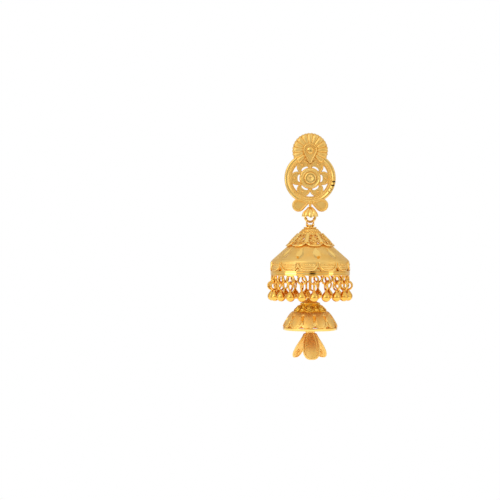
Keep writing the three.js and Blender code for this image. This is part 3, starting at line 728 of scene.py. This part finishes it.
def filigreeTier(piece):
    petals, turn, flowerDown = tierForm["petals"], tierForm["turn"], tierForm["flowerDown"]
    half = pi / petals * tierUnit
    crown = mirrored(petalEdge())
    pierced = [(hole, side) for hole in petalHoles for side in (-1, 1)]
    holes = [holeLoop(hole, side) for hole, side in pierced]
    outline = [(-half, 0), (half, 0)] + crown
    sheet = panel(half, tierLength, 6, 8, outline, holes, lambda co: onTier(co.x, co.y))
    include(piece, shellOf(petals, sheet, 0.36), [hung(turn)])
    places = ringOf(petals, turn)
    include(piece, wireAlong([onTier(x, y, 0.04) for x, y in crown], tierForm["wire"]), places, finish=1)
    # the ledge under the tier takes finish 2, painted shade
    ledge = [(5.2, 0.2), (5.55, 0.1), (5.72, 0.03), (5.78, -0.05), (5.72, -0.16), (5.5, -0.22), (5.2, -0.1)]
    include(piece, turned(stepped(0, bellForm["coneTop"], ledge), 96, closed=True), [hung()], finish=2)
    for hole, side in pierced:
        loop = [onTier(x, y, 0.05) for x, y in holeLoop(hole, side, 0.06, 16)]
        include(piece, wireAlong(loop, 0.08, closed=True, resolution=1), places, finish=1)
    spots = [(0, 0, 0.2)] + [(*polar(0.33, t), 0.15) for t in steps(0, fullTurn * 5 / 6, 5)]
    for dx, dy, radius in spots:
        spot = onTier(dx * tierUnit / tierRadiusAt(flowerDown), flowerDown + dy, 0.1)
        include(piece, grain(radius, segments=10, rings=7), inEach(places, spot), finish=1)


def tierRibs(piece):
    def shape(co):
        down = (co.y + 1) / 2
        width = 0.41 + 0.05 * down + 0.25 * max(0, down - 0.72) ** 1.3 * 4
        lift = 0.30 - 0.16 * abs(co.x) ** 4 - 0.05 * max(0, down - 0.75) * 4
        local = 0.1 + down * tierForm["ribLength"]
        return onTier(co.x * width * tierUnit / tierRadiusAt(local), local, lift)

    places = ringOf(tierForm["petals"], tierForm["turn"] + pi / tierForm["petals"])
    include(piece, outward(grid(6, 14, shape), 0.34), places)


def domeCap(piece):
    top, foot = bellForm["domeTop"], bellForm["tierTop"]
    steppedCap = [(0.001, 0.62), (0.5, 0.62), (0.6, 0.5), (0.62, 0.2), (0.9, 0.08), (1.3, 0.04), (1.5, -0.02),
                  (1.58, -0.14), (1.5, -0.26), (1.66, -0.4), (1.9, -0.56), (2.12, -0.8), (2.3, -1.06),
                  (2.5, -1.2), (2.68, -1.42), (2.84, -1.62)]
    brim = [(2.98, -0.06), (2.96, -0.16), (2.8, -0.24), (2.2, -0.1), (0.001, 0.1)]
    include(piece, turned(stepped(0, top, steppedCap) + stepped(0, foot, brim), 72), [hung()])
    for radius, down, count, lean in ((1.98, 0.72, 20, deg(38)), (2.56, 1.32, 25, deg(34))):
        tilt = shift(0, -radius - 0.05, top - down) @ aboutX(-lean)
        places = [spot @ tilt for spot in ringOf(count)]
        include(piece, ringWire(0.25, 0.17, 12, 6), places, finish=1)
        include(piece, grain(0.1, segments=6, rings=4), places, finish=1)
    for radius, down, wire in ((1.52, 0.1, 0.13), (2.3, 1.02, 0.1), (2.86, 1.62, 0.12)):
        section = arc(radius, top - down, wire, 0, fullTurn * 7 / 8, 7)
        include(piece, turned(section, 64, closed=True), [hung()], finish=1)


coneUnit = 7.5
onBell, coneLength = onCone(5.75, bellForm["coneTop"] - 0.15, bellForm["coneRadius"],
                            bellForm["shoulderTop"], coneUnit)
brightCut = {"middle": 2.55, "length": 4.3, "width": 1.8, "depth": 0.25, "rows": 16}


def brightCone(piece):
    lobes, rows = bellForm["lobes"], brightCut["rows"]
    half = pi / lobes * coneUnit

    def lens(share):  # half width of the marquise at -1..1 along its length, fullest just below its middle
        return brightCut["width"] / 2 * (1 - abs(share) ** 1.9) * (1 + 0.22 * share)

    def along(share):
        return brightCut["middle"] + share * brightCut["length"] / 2

    def scoop(co):
        depth = brightCut["depth"] * (1 - co.y ** 2) * (1 - co.x ** 2)
        return onBell(co.x * lens(co.y), along(co.y), -depth)

    shares = [2 * k / rows - 1 for k in range(rows + 1)]
    marquise = [(lens(s), along(s)) for s in shares] + [(-lens(s), along(s)) for s in shares[-2:0:-1]]
    outline = [(-half, 0), (half, 0), (half, coneLength), (-half, coneLength)]
    sheet = openSheet(outline, [marquise], [half * k / 4 for k in (-3, -2, -1, 1, 2, 3)],
                      [along(s) for s in shares])
    sector = bmesh.new()
    include(sector, bent(sheet, lambda co: onBell(co.x, co.y)), finish=0)
    include(sector, grid(8, rows, scoop), finish=1)
    include(piece, shellOf(lobes, sector, bellForm["wall"]), [hung(bellForm["turn"] + pi / lobes)])


wallUnit = bellForm["radius"]
wallLength = bellForm["wallTop"] - bellForm["rimTop"]
scallop = {"apex": 1.12, "wire": 0.16, "openHalf": 0.8, "grains": 9}


def onWall(x, down, lift=0.0):
    azimuth = x / wallUnit
    radius = wallUnit + lift
    return Vector((radius * sin(azimuth), -radius * cos(azimuth), bellForm["wallTop"] - down))


def scallopEdge(count=6):  # right side of a lobe's foot: along the opening, then to the middle of the rim
    half = pi / bellForm["lobes"] * wallUnit
    return [(half - scallop["openHalf"] * t ** 0.9, mixed(scallop["apex"], wallLength, t))
            for t in steps(0, 1, count)] + [(0, wallLength)]


def scallopedWall(piece):
    lobes, turn, last = bellForm["lobes"], bellForm["turn"], scallop["grains"] - 1
    half = pi / lobes * wallUnit
    outline = [(-half, 0), (half, 0)] + mirrored(scallopEdge())
    sheet = panel(half, wallLength, 4, 5, outline, [], lambda co: onWall(co.x, co.y))
    include(piece, shellOf(lobes, sheet, 0.42), [hung(turn)])
    places = ringOf(lobes, turn)
    wide, deep = half - 0.27, wallLength - 0.3  # of the wire that follows a lobe's edge
    line = [(half - 0.1, 0.0)] + [(wide * cos(t) ** 0.72, 0.16 + deep * sin(t) ** 1.1)
                                  for t in steps(0.06, pi / 2, 16)]
    line = [onWall(x, y, 0.09) for x, y in mirrored(line)]
    include(piece, wireAlong(line, scallop["wire"]), places, finish=1)
    for i in range(last + 1):
        x = (i / last - 0.5) * 2 * (half - 0.72)
        curl = ringWire(0.17, 0.13, 10, 6) if i % 2 else grain(0.15, (1, 0.8, 1.3), 8, 6)
        spot = onWall(x, 0.62 + (0.05 if i % 2 else -0.06), 0.05)
        include(piece, curl, [place @ aboutZ(x / wallUnit) for place in inEach(places, spot)], finish=1)
    seam = [onWall(x, 0.98, 0.03) for x in steps(0.62 - half, half - 0.62, 12)]
    include(piece, wireAlong(seam, 0.08, resolution=1), places, finish=1)

    def cushion(co):
        down = (co.y + 1) / 2
        reach = (half - 0.75) * sqrt(max(0.0, 1 - 0.92 * down ** 2.2))
        lift = 0.17 * (1 - co.x ** 4) * (1 - down ** 3) * min(1, 5 * down)
        return onWall(co.x * reach, 1.1 + down * (wallLength - 1.36), lift)

    include(piece, outward(grid(10, 6, cushion), 0.1), places, finish=0)


def shoulderBand(piece):
    top, foot, r = bellForm["shoulderTop"], bellForm["wallTop"], bellForm["radius"]
    rows = [(9.34, top + 0.06), (9.48, top - 0.1), (9.64, top - 0.28), (9.74, top - 0.46),
            (r + 0.02, foot - 0.02), (r - 0.4, foot - 0.02), (9.3, top - 0.45), (9.02, top - 0.2)]
    include(piece, turned(rows, 120, closed=True), [hung(bellForm["turn"])])


def rimBand(piece):
    foot, r = bellForm["rimBottom"], bellForm["radius"]
    face = [(-0.5, 0.5), (-0.5, 0), (0.04, 0), (0.14, -0.06), (0.14, -0.26), (0.07, -0.31), (0.15, -0.36),
            (0.15, -0.78), (0.07, -0.83), (0.12, -0.88), (0.12, -1.02)]
    rows = stepped(r, bellForm["rimTop"], face) + [(r + 0.06, foot), (r - 0.6, foot)]
    rows += [(r - 0.6, bellForm["rimTop"] + 0.5)]
    # the inside faces of the band take finish 1, painted shade
    include(piece, outward(turned(rows, 144, closed=True), paintedShadeFinish=1), [hung(bellForm["turn"])])


fringeForm = {"count": 20, "turn": deg(3), "radius": 9.525, "rimRing": 1.01, "rimWire": 0.5,
              "rimHeight": -32.04, "dropHeight": -33.567, "dropRing": 1.0, "dropWire": 0.46, "ball": 1.12}
earForm = {"apart": 0.86, "radius": 0.56, "wire": 0.3}


def rimRings(piece):
    place = shift(0, -fringeForm["radius"], fringeForm["rimHeight"])
    include(piece, ringWire(fringeForm["rimRing"], fringeForm["rimWire"], 28, 10),
            [spot @ place for spot in ringOf(fringeForm["count"], fringeForm["turn"])])


def bellEars(piece):
    apart, radius = earForm["apart"], earForm["radius"]
    height = hoopHeight - sqrt(jumpRing["radius"] ** 2 - apart ** 2)
    for x in (-apart, apart):
        eyeRing(piece, radius, earForm["wire"], height, edgeOn, x)
        leg = grain(0.34, (0.95, 1.6, 1.35), 16, 12)
        include(piece, leg, [shift(x * 0.9, hangDepth, height - radius - 0.5)])


def innerStem(piece, top, middle, radius, facing):
    wire = 0.42
    foot = middle + radius - wire / 4
    rows = [(0.001, top), (0.42, top), (0.35, top - 0.3), (0.35, foot + 0.2), (0.26, foot), (0.001, foot)]
    include(piece, turned(rows, 24), [hung()])
    eyeRing(piece, radius, wire, middle, facing)


def bellStem(piece):
    innerStem(piece, -20.8, lowerLoopHeight + 0.85, 0.85, Matrix())


# the third finish of the tier, cone and wall, and the second of the rim band, is painted shade on their
# inside faces
finishPieces("upper_bell", "bell", "gold_satin", 32,
             ("bell_ears", bellEars, [goldPolished]),
             ("dome_cap", domeCap, [goldSatin, goldPolished]),
             ("filigree_tier", filigreeTier, [goldSatin, goldPolished, goldPaintedShade]),
             ("tier_ribs", tierRibs, [goldPolished]),
             ("bright_cut_cone", brightCone, [goldSatin, goldPolished, goldPaintedShade]),
             ("shoulder_band", shoulderBand, [goldSatin]),
             ("scalloped_wall", scallopedWall, [goldSatin, goldPolished, goldPaintedShade]),
             ("rim_band", rimBand, [goldPolished, goldPaintedShade]),
             # painted shade: the rim rings take the darker copy of the polished gold
             ("rim_rings", rimRings, [goldShadedDeep]))
# painted shade: the stem inside the bell takes the dark inside finish
finishPieces("upper_bell", "bell", "gold_satin", 40, ("bell_stem", bellStem, [goldPaintedShade]))
print("bell done")

# Fringe

shaker = random.Random(7)


def fringeDrop(piece, azimuth):
    ring, wire, ball = fringeForm["dropRing"], fringeForm["dropWire"], fringeForm["ball"]
    include(piece, ringWire(ring, wire, 28, 10), [edgeOn])
    neck = -ring - wire / 4
    middle = neck - 0.42 - ball
    collar = [(0.001, 0.04), (0.3, 0.02), (0.36, -0.12), (0.42, -0.26), (0.54, -0.4), (0.7, -0.54)]
    rows = stepped(0, neck, collar) + arc(0, middle, ball, deg(42), deg(-88), 13)
    include(piece, turned(rows, 28))
    twist = deg(shaker.uniform(-9, 9))
    piece.transform(hung(azimuth) @ shift(0, -fringeForm["radius"], fringeForm["dropHeight"]) @ aboutZ(twist))


for index in range(fringeForm["count"]):
    azimuth = fullTurn * index / fringeForm["count"] + fringeForm["turn"]
    # painted shade: the drops take the darker copy of the polished gold
    finishPiece(f"ball_drop_{index + 1:02d}", lambda piece: fringeDrop(piece, azimuth), [goldShadedDeep],
                "upper_bell", f"drop_{index + 1:02d}", 40)
print("fringe done")

# Lower bell

lowerForm = {
    "turn": deg(-7), "top": -36.717, "tierTop": -38.267, "domeTop": -40.167, "rimTop": -44.02,
    "rimBottom": -44.617, "radius": 6.75, "tierTopRadius": 2.15, "tierRadius": 4.3, "petals": 12,
    "bulge": 0.2,
}


def lowerCap(piece):
    foot = lowerForm["tierTop"]
    cone = [(0.001, 0), (0.5, 0), (0.66, -0.06), (0.95, -0.38), (1.35, -0.7), (1.85, -0.98), (2.25, -1.16),
            (2.46, -1.2), (2.54, -1.28), (2.54, -1.38), (2.44, -1.46)]
    rows = stepped(0, lowerForm["top"], cone) + [(2.2, foot), (2.0, foot - 0.15), (0.001, foot - 0.1)]
    include(piece, turned(rows, 64), [hung()])
    eyeRing(piece, 0.54, 0.42, lowerLoopHeight, edgeOn)


rosetteUnit = 3.2
onRosettes, rosetteLength = onCone(lowerForm["tierTopRadius"], lowerForm["tierTop"], lowerForm["tierRadius"],
                                   lowerForm["domeTop"], rosetteUnit)
rosetteForm = {"count": 6, "radius": 1.2, "middle": 1.4, "wire": 0.26, "turns": 2.1, "pitDown": 2.05}


def rosetteTier(piece):
    count, turn, pitDown = rosetteForm["count"], lowerForm["turn"], rosetteForm["pitDown"]
    r, wire = rosetteForm["radius"], rosetteForm["wire"]
    half = pi / count * rosetteUnit
    pit = arc(0, pitDown, 0.36, 0, fullTurn * 11 / 12, 11)
    outline = [(-half, 0), (half, 0), (half, rosetteLength + 0.1), (-half, rosetteLength + 0.1)]
    sheet = panel(half, rosetteLength, 5, 5, outline, [pit], lambda co: onRosettes(co.x, co.y))
    include(piece, shellOf(count, sheet, 0.34), [hung(turn + pi / count)])
    slope = atan2(lowerForm["tierRadius"] - lowerForm["tierTopRadius"],
                       lowerForm["tierTop"] - lowerForm["domeTop"])
    seat = Matrix.Translation(onRosettes(0, rosetteForm["middle"], 0.1)) @ aboutX(-slope)
    seats = [place @ seat for place in ringOf(count, turn)]
    coil = []
    for share in steps(0, 1, 65):
        x, z = polar(r - 0.1 - (r - 0.36) * share, fullTurn * rosetteForm["turns"] * share - 0.8)
        coil.append((x, -0.2 * share, z))
    include(piece, wireAlong(coil, wire * 0.62), seats, finish=1)
    include(piece, grain(0.26, segments=12, rings=8), inEach(seats, (0, -0.14, 0)), finish=1)
    cradle = [(1.36 * cos(t), 0.02, 1.3 * sin(t)) for t in steps(deg(200), deg(340), 20)]
    include(piece, wireAlong(cradle, 0.12), seats, finish=1)
    gaps = ringOf(count, turn + pi / count)
    include(piece, grain(0.3, segments=12, rings=8), inEach(gaps, onRosettes(0, 0.95, 0.1)), finish=1)
    collar = [onRosettes(x, down, 0.03) for x, down in arc(0, pitDown, 0.44, 0, fullTurn * 15 / 16, 15)]
    include(piece, wireAlong(collar, 0.08, closed=True, resolution=1), gaps, finish=1)


domeRows = [(4.3, -40.167), (4.62, -40.3), (5.0, -40.72), (5.42, -41.3), (5.82, -41.95), (6.2, -42.6),
            (6.5, -43.15), (6.66, -43.6), (6.7, -43.85), (6.68, -44.1)]
domeReach = [0.0]
for (r1, z1), (r2, z2) in zip(domeRows, domeRows[1:]):
    domeReach.append(domeReach[-1] + hypot(r2 - r1, z2 - z1))
domeLength = domeReach[-1]
domeUnit = 5.9
domePetal = {"slotTop": 1.0, "slotFoot": 2.65, "slotHalf": 0.44, "open": 4.0, "openHalf": 0.62, "round": 1.9}


def onDome(x, down, lift=0.0):
    down = min(max(down, 0.0), domeLength)
    index = max(i for i in range(len(domeReach) - 1) if domeReach[i] <= down + 1e-9)
    share = (down - domeReach[index]) / (domeReach[index + 1] - domeReach[index])
    (r1, z1), (r2, z2) = domeRows[index], domeRows[index + 1]
    along = Vector((r2 - r1, z2 - z1)).normalized()
    radius = mixed(r1, r2, share) - along.y * lift
    height = mixed(z1, z2, share) + along.x * lift
    azimuth = x / domeUnit
    return Vector((radius * sin(azimuth), -radius * cos(azimuth), height))


def petalHalf(down):  # half width of the cast petal, which closes in a half round at its foot
    half = pi / lowerForm["petals"] * domeUnit * 0.88
    below = (down - domeLength + 0.2 + domePetal["round"]) / domePetal["round"]
    return half * sqrt(max(0.0, 1 - max(0.0, below) ** 2))


def petalRise(x, down):  # how proud the cast petal stands: 1 on its back, 0 in the valley between two petals
    half = pi / lowerForm["petals"] * domeUnit
    edge = min(1.0, max(0.0, (petalHalf(down) - abs(x)) / 0.3))
    rise = edge * edge * (3 - 2 * edge) * (0.75 + 0.25 * (1 - (x / half) ** 2))
    joined = min(1.0, max(0.0, (domePetal["slotTop"] + 0.3 - down) / 0.5))
    return mixed(rise, 0.9, joined)


def petalledDome(piece):
    petals, turn = lowerForm["petals"], lowerForm["turn"]
    half = pi / petals * domeUnit
    slotTop, slotFoot, slotHalf = domePetal["slotTop"], domePetal["slotFoot"], domePetal["slotHalf"]
    opened, openHalf, closing = domePetal["open"], domePetal["openHalf"], domePetal["round"]
    right = [(half, 0), (half, slotTop)]
    right += [(half - slotHalf * sin(t) * (1 + 0.25 * cos(t)),
               mixed(slotTop, slotFoot, 0.5 - 0.5 * cos(t))) for t in steps(0, pi, 10)[1:-1]]
    right += [(half, slotFoot), (half, opened), (half - openHalf * 0.45, opened + 0.2),
              (half - openHalf, domeLength - 0.1), (half, domeLength - 0.1), (half, domeLength)]
    sheet = panel(half, domeLength, 15, 30, right + [(-x, y) for x, y in right[::-1]], [],
                  lambda co: onDome(co.x, co.y, lowerForm["bulge"] * petalRise(co.x, co.y) - 0.06))
    include(piece, shellOf(petals, sheet, 0.38), [hung(turn)])
    places = ringOf(petals, turn)
    foot, side = domeLength - 0.2 - closing, petalHalf(0) - 0.1
    edge = [(side, y) for y in steps(slotFoot - 0.5, foot, 6)]
    edge += [(side * cos(t), foot + (closing - 0.1) * sin(t)) for t in steps(0, pi / 2, 16)[1:]]
    line = [onDome(x, y, 0.08) for x, y in mirrored(edge)]
    include(piece, wireAlong(line, 0.055, resolution=1), places, finish=1)

    def flash(co):  # the polished edge of a slot
        down = mixed(slotFoot + 0.02, opened - 0.02, (co.y + 1) / 2)
        reach = 0.06 + 0.26 * (1 - co.y * co.y)
        return onDome(half + co.x * reach, down, 0.03 - 0.05 * co.x * co.x)

    include(piece, outward(grid(6, 12, flash), 0.08), places, finish=1)


def lowerRim(piece):
    top, foot, r = lowerForm["rimTop"], lowerForm["rimBottom"] - 0.04, lowerForm["radius"]
    face = [(-0.5, 0.06), (-0.08, 0.06), (0.03, 0), (0.05, -0.12), (0, -0.3), (-0.02, -0.4), (-0.08, -0.52)]
    rows = stepped(r, top, face) + [(r - 0.18, foot), (r - 0.58, foot), (r - 0.56, top - 0.2)]
    include(piece, turned(rows, 120, closed=True), [hung(lowerForm["turn"])])


def lowerStem(piece):
    innerStem(piece, -38.4, budLoopHeight + 0.54, 0.54, edgeOn)


# painted light: the lower cap and rosette tier take a brighter gold against the shade under the bell; the
# third finish of the tier and dome is painted shade on their inside faces
finishPieces("small_bell", "lower_bell", "gold_satin", 32,
             ("lower_cap", lowerCap, [goldLitRich]),
             ("rosette_tier", rosetteTier, [goldLitRich, goldLitRich, goldPaintedShade]),
             ("petalled_dome", petalledDome, [goldSatin, goldPolished, goldPaintedShade]),
             ("lower_rim", lowerRim, [goldPolished]))
finishPieces("small_bell", "lower_bell", "gold_satin", 40, ("lower_stem", lowerStem, [goldPolished]))
print("lower bell done")

# Bud

budForm = {
    "collarTop": -44.717, "collarRadius": 1.25, "rootHeight": -45.55, "rootRadius": 1.15,
    "length": 6.0, "flare": 3.05,
    "petals": (deg(3), deg(131), deg(-125)),  # where each one stands round the stem
    "width": 4.1, "thickness": 0.34, "beads": 52,
    "heart": 0.67,  # where the back's grain sits, from root to tip
}
petalRows = [(0.0, 0.0, 0.42), (0.08, 0.05, 0.52), (0.16, 0.11, 0.63), (0.27, 0.22, 0.77), (0.38, 0.36, 0.88),
             (0.5, 0.51, 0.96), (0.6, 0.64, 0.99), (0.7, 0.76, 1.0), (0.8, 0.87, 0.95), (0.88, 0.95, 0.85),
             (0.94, 1.0, 0.70), (0.98, 1.03, 0.50), (1.0, 1.04, 0.30)]


def onPetal(share, across, lift=0.0):  # share runs from root to tip, across is -1..1
    spot = share * (len(petalRows) - 1)
    index = min(int(spot), len(petalRows) - 2)
    part = spot - index
    down, out, half = [mixed(a, b, part) for a, b in zip(petalRows[index], petalRows[index + 1])]
    d1, o1 = petalRows[max(index - 1, 0)][:2]
    d2, o2 = petalRows[min(index + 2, len(petalRows) - 1)][:2]
    along = Vector(((o2 - o1) * budForm["flare"], -(d2 - d1) * budForm["length"])).normalized()
    x = across * half * budForm["width"] / 2
    hollow = 0.28 * across * across * half  # the petal is a little cupped towards the axis
    radius = budForm["rootRadius"] + out * budForm["flare"] - along.y * lift - hollow
    height = budForm["rootHeight"] - down * budForm["length"] + along.x * lift
    return Vector((x, -radius, height))


def petalRim(inset, lift, count=30, start=0.02):
    right = [onPetal(mixed(start, 1.0, i / count), 1 - inset, lift) for i in range(count + 1)]
    left = [onPetal(mixed(start, 1.0, i / count), inset - 1, lift) for i in range(count, -1, -1)]
    return right + left


def budPetals(piece):
    places = [hung(azimuth) for azimuth in budForm["petals"]]
    half, heart = budForm["thickness"] / 2, budForm["heart"]
    sheet = grid(16, 36, lambda co: onPetal((co.y + 1) / 2, co.x, half))
    include(piece, outward(sheet, budForm["thickness"]), places, finish=1)
    include(piece, wireAlong(petalRim(0.08, 0.06), 0.25, resolution=3), places, finish=0)
    beadLine = petalRim(0.27, half + 0.02, 60, 0.16)
    spacing = len(beadLine) / budForm["beads"]
    for i in range(budForm["beads"]):
        spot = beadLine[int(i * spacing)]
        include(piece, grain(0.16, segments=8, rings=6), inEach(places, spot), finish=0)
    include(piece, wireAlong(petalRim(0.26, -half - 0.02), 0.1), places, finish=0)
    spot = onPetal(heart, 0.0, -half - 0.08)
    include(piece, grain(0.34, segments=14, rings=10), inEach(places, spot), finish=0)
    halo = [onPetal(heart + 0.66 * sin(t) / budForm["length"], 0.32 * cos(t), -half - 0.03)
            for t in steps(0, fullTurn * 15 / 16, 15)]
    include(piece, wireAlong(halo, 0.12, closed=True), places, finish=0)


def budCollar(piece):
    top, r = budForm["collarTop"], budForm["collarRadius"]
    rows = [(0.45, top - 0.5), (0.55, top - 0.06), (0.8, top)]
    rows += stepped(r, top, [(-0.1, -0.12), (0, -0.32), (-0.02, -0.52), (-0.16, -0.7)])
    rows += [(0.9, top - 0.92), (0.75, top - 1.05), (0.001, top - 1.05), (0.001, top - 0.5)]
    include(piece, turned(rows, 40), [hung()])
    foot = budLoopHeight - 0.54 + 0.1
    stem = [(0.001, foot), (0.35, foot - 0.12), (0.35, top - 0.5), (0.001, top - 0.55)]
    include(piece, turned(stem, 24), [hung()])
    eyeRing(piece, 0.54, 0.42, budLoopHeight)


finishPieces("petal_bud", "bud", "gold_satin", 40,
             ("bud_petals", budPetals, [goldSatin, goldMatte]),
             ("bud_collar", budCollar, [goldPolished]))
print("bud done")

# Floor, light and camera

studio = {
    "floorHeight": -0.0585, "floorColour": (0.80, 0.78, 0.75, 1),
    "skyLow": (0.48, 0.44, 0.38, 1), "skyFront": (0.76, 0.745, 0.72, 1),
    "skyHigh": (0.93, 0.92, 0.91, 1), "cameraShade": (0.045, 0.032, 0.02, 1),
    "cameraSpot": (0.07, -0.997, -0.012), "viewpoint": (-0.015, -0.3, -0.02475), "lens": 86.4,
}
lamps = {  # place, target, size and power of each
    "keyLight": ((-0.28, -0.34, 0.22), (0, 0, -0.025), (0.22, 0.3), 0.34),
    "fillLight": ((0.4, -0.24, 0.05), (0, 0, -0.025), (0.12, 0.36), 0.14),
    "sideLight": ((-0.36, -0.2, -0.03), (0, 0, -0.03), (0.26, 0.08), 0.13),
    "upLight": ((0, -0.01, -0.0575), (0, -0.01, 0), (0.14, 0.12), 0.03),
}


def seenWhite(nodes, shader, output):  # the camera sees plain white, the gold sees the shader
    kind = "Emission" if output.type == "OUTPUT_MATERIAL" else "Background"
    white = shaderNode(nodes, kind, {"Color": (1, 1, 1, 1)})
    path = nodes.new("ShaderNodeLightPath")
    choose = nodes.new("ShaderNodeMixShader")
    join(path, "Is Camera Ray", choose, "Fac")
    join(shader, 0, choose, 1)
    join(white, 0, choose, 2)
    join(choose, "Shader", output, "Surface")


def paleBackdrop():
    sweep = bmesh.new()
    low = studio["floorHeight"]
    rows = [(-0.26, low), (0.12, low)]
    rows += [(0.12 + 0.1 * sin(t), low + 0.1 - 0.1 * cos(t)) for t in steps(0, pi / 2, 12)[1:]]
    rows += [(0.22, low + 0.6)]
    corners = [sweep.verts.new((-0.5, y, z)) for y, z in rows]
    edges = [sweep.edges.new(pair) for pair in zip(corners, corners[1:])]
    grown = bmesh.ops.extrude_edge_only(sweep, edges=edges)
    moved = [item for item in grown["geom"] if isinstance(item, bmesh.types.BMVert)]
    bmesh.ops.translate(sweep, vec=(1.0, 0, 0), verts=moved)
    bmesh.ops.recalc_face_normals(sweep, faces=sweep.faces)
    data = bpy.data.meshes.new("backdrop")
    sweep.to_mesh(data)
    sweep.free()
    data.polygons.foreach_set("use_smooth", [True] * len(data.polygons))
    paper = bpy.data.materials.new("paleSweep")
    paper.use_nodes = True
    nodes = paper.node_tree.nodes
    shader = nodes["Principled BSDF"]
    shader.inputs["Base Color"].default_value = studio["floorColour"]
    shader.inputs["Roughness"].default_value = 0.9
    seenWhite(nodes, shader, nodes["Material Output"])
    data.materials.append(paper)
    backdrop = placed("backdrop", data)


def softLight(name, place, target, size, power):
    lamp = bpy.data.lights.new(name, "AREA")
    lamp.shape = "RECTANGLE"
    lamp.size, lamp.size_y = size
    lamp.energy = power
    holder = placed(name, lamp)
    holder.location = place
    holder.rotation_euler = (Vector(target) - Vector(place)).to_track_quat("-Z", "Y").to_euler()
    holder.visible_camera = False


def studioWorld():
    world = bpy.data.worlds.new("studio")
    bpy.context.scene.world = world
    world.use_nodes = True
    nodes = world.node_tree.nodes
    light = nodes["Background"]
    place = nodes.new("ShaderNodeTexCoord")
    split = nodes.new("ShaderNodeSeparateXYZ")
    span = shaderNode(nodes, "MapRange", {"From Min": -1.0})
    ramp = nodes.new("ShaderNodeValToRGB")  # warm grey below, paler in front, near white above
    shades = ramp.color_ramp
    shades.elements[0].position = 0.28
    shades.elements[0].color = studio["skyLow"]
    shades.elements[1].position = 0.9
    shades.elements[1].color = studio["skyHigh"]
    shades.elements.new(0.52).color = studio["skyFront"]
    # the dark of the camera, which polished gold shows in brown
    apart = shaderNode(nodes, "VectorMath", {1: studio["cameraSpot"]}, operation="DISTANCE")
    fade = shaderNode(nodes, "MapRange", {"From Min": 0.09, "From Max": 0.22})
    tone = shaderNode(nodes, "Mix", {"A": studio["cameraShade"]}, data_type="RGBA")
    join(place, "Generated", split, "Vector")
    join(split, "Z", span, "Value")
    join(span, "Result", ramp, "Fac")
    join(place, "Generated", apart, 0)
    join(apart, "Value", fade, "Value")
    join(fade, "Result", tone, "Factor")
    join(ramp, "Color", tone, "B")
    join(tone, "Result", light, "Color")
    seenWhite(nodes, light, nodes["World Output"])


paleBackdrop()
studioWorld()
for name, lamp in lamps.items():
    softLight(name, *lamp)

camera = bpy.data.cameras.new("camera")
camera.sensor_width = 36
camera.lens = studio["lens"]
camera.clip_start = 0.01
camera.clip_end = 10
viewpoint = placed("camera", camera)
viewpoint.location = studio["viewpoint"]
viewpoint.rotation_euler = (pi / 2, 0, 0)
bpy.context.scene.camera = viewpoint
bpy.context.scene.view_settings.view_transform = "Standard"
print("studio done")
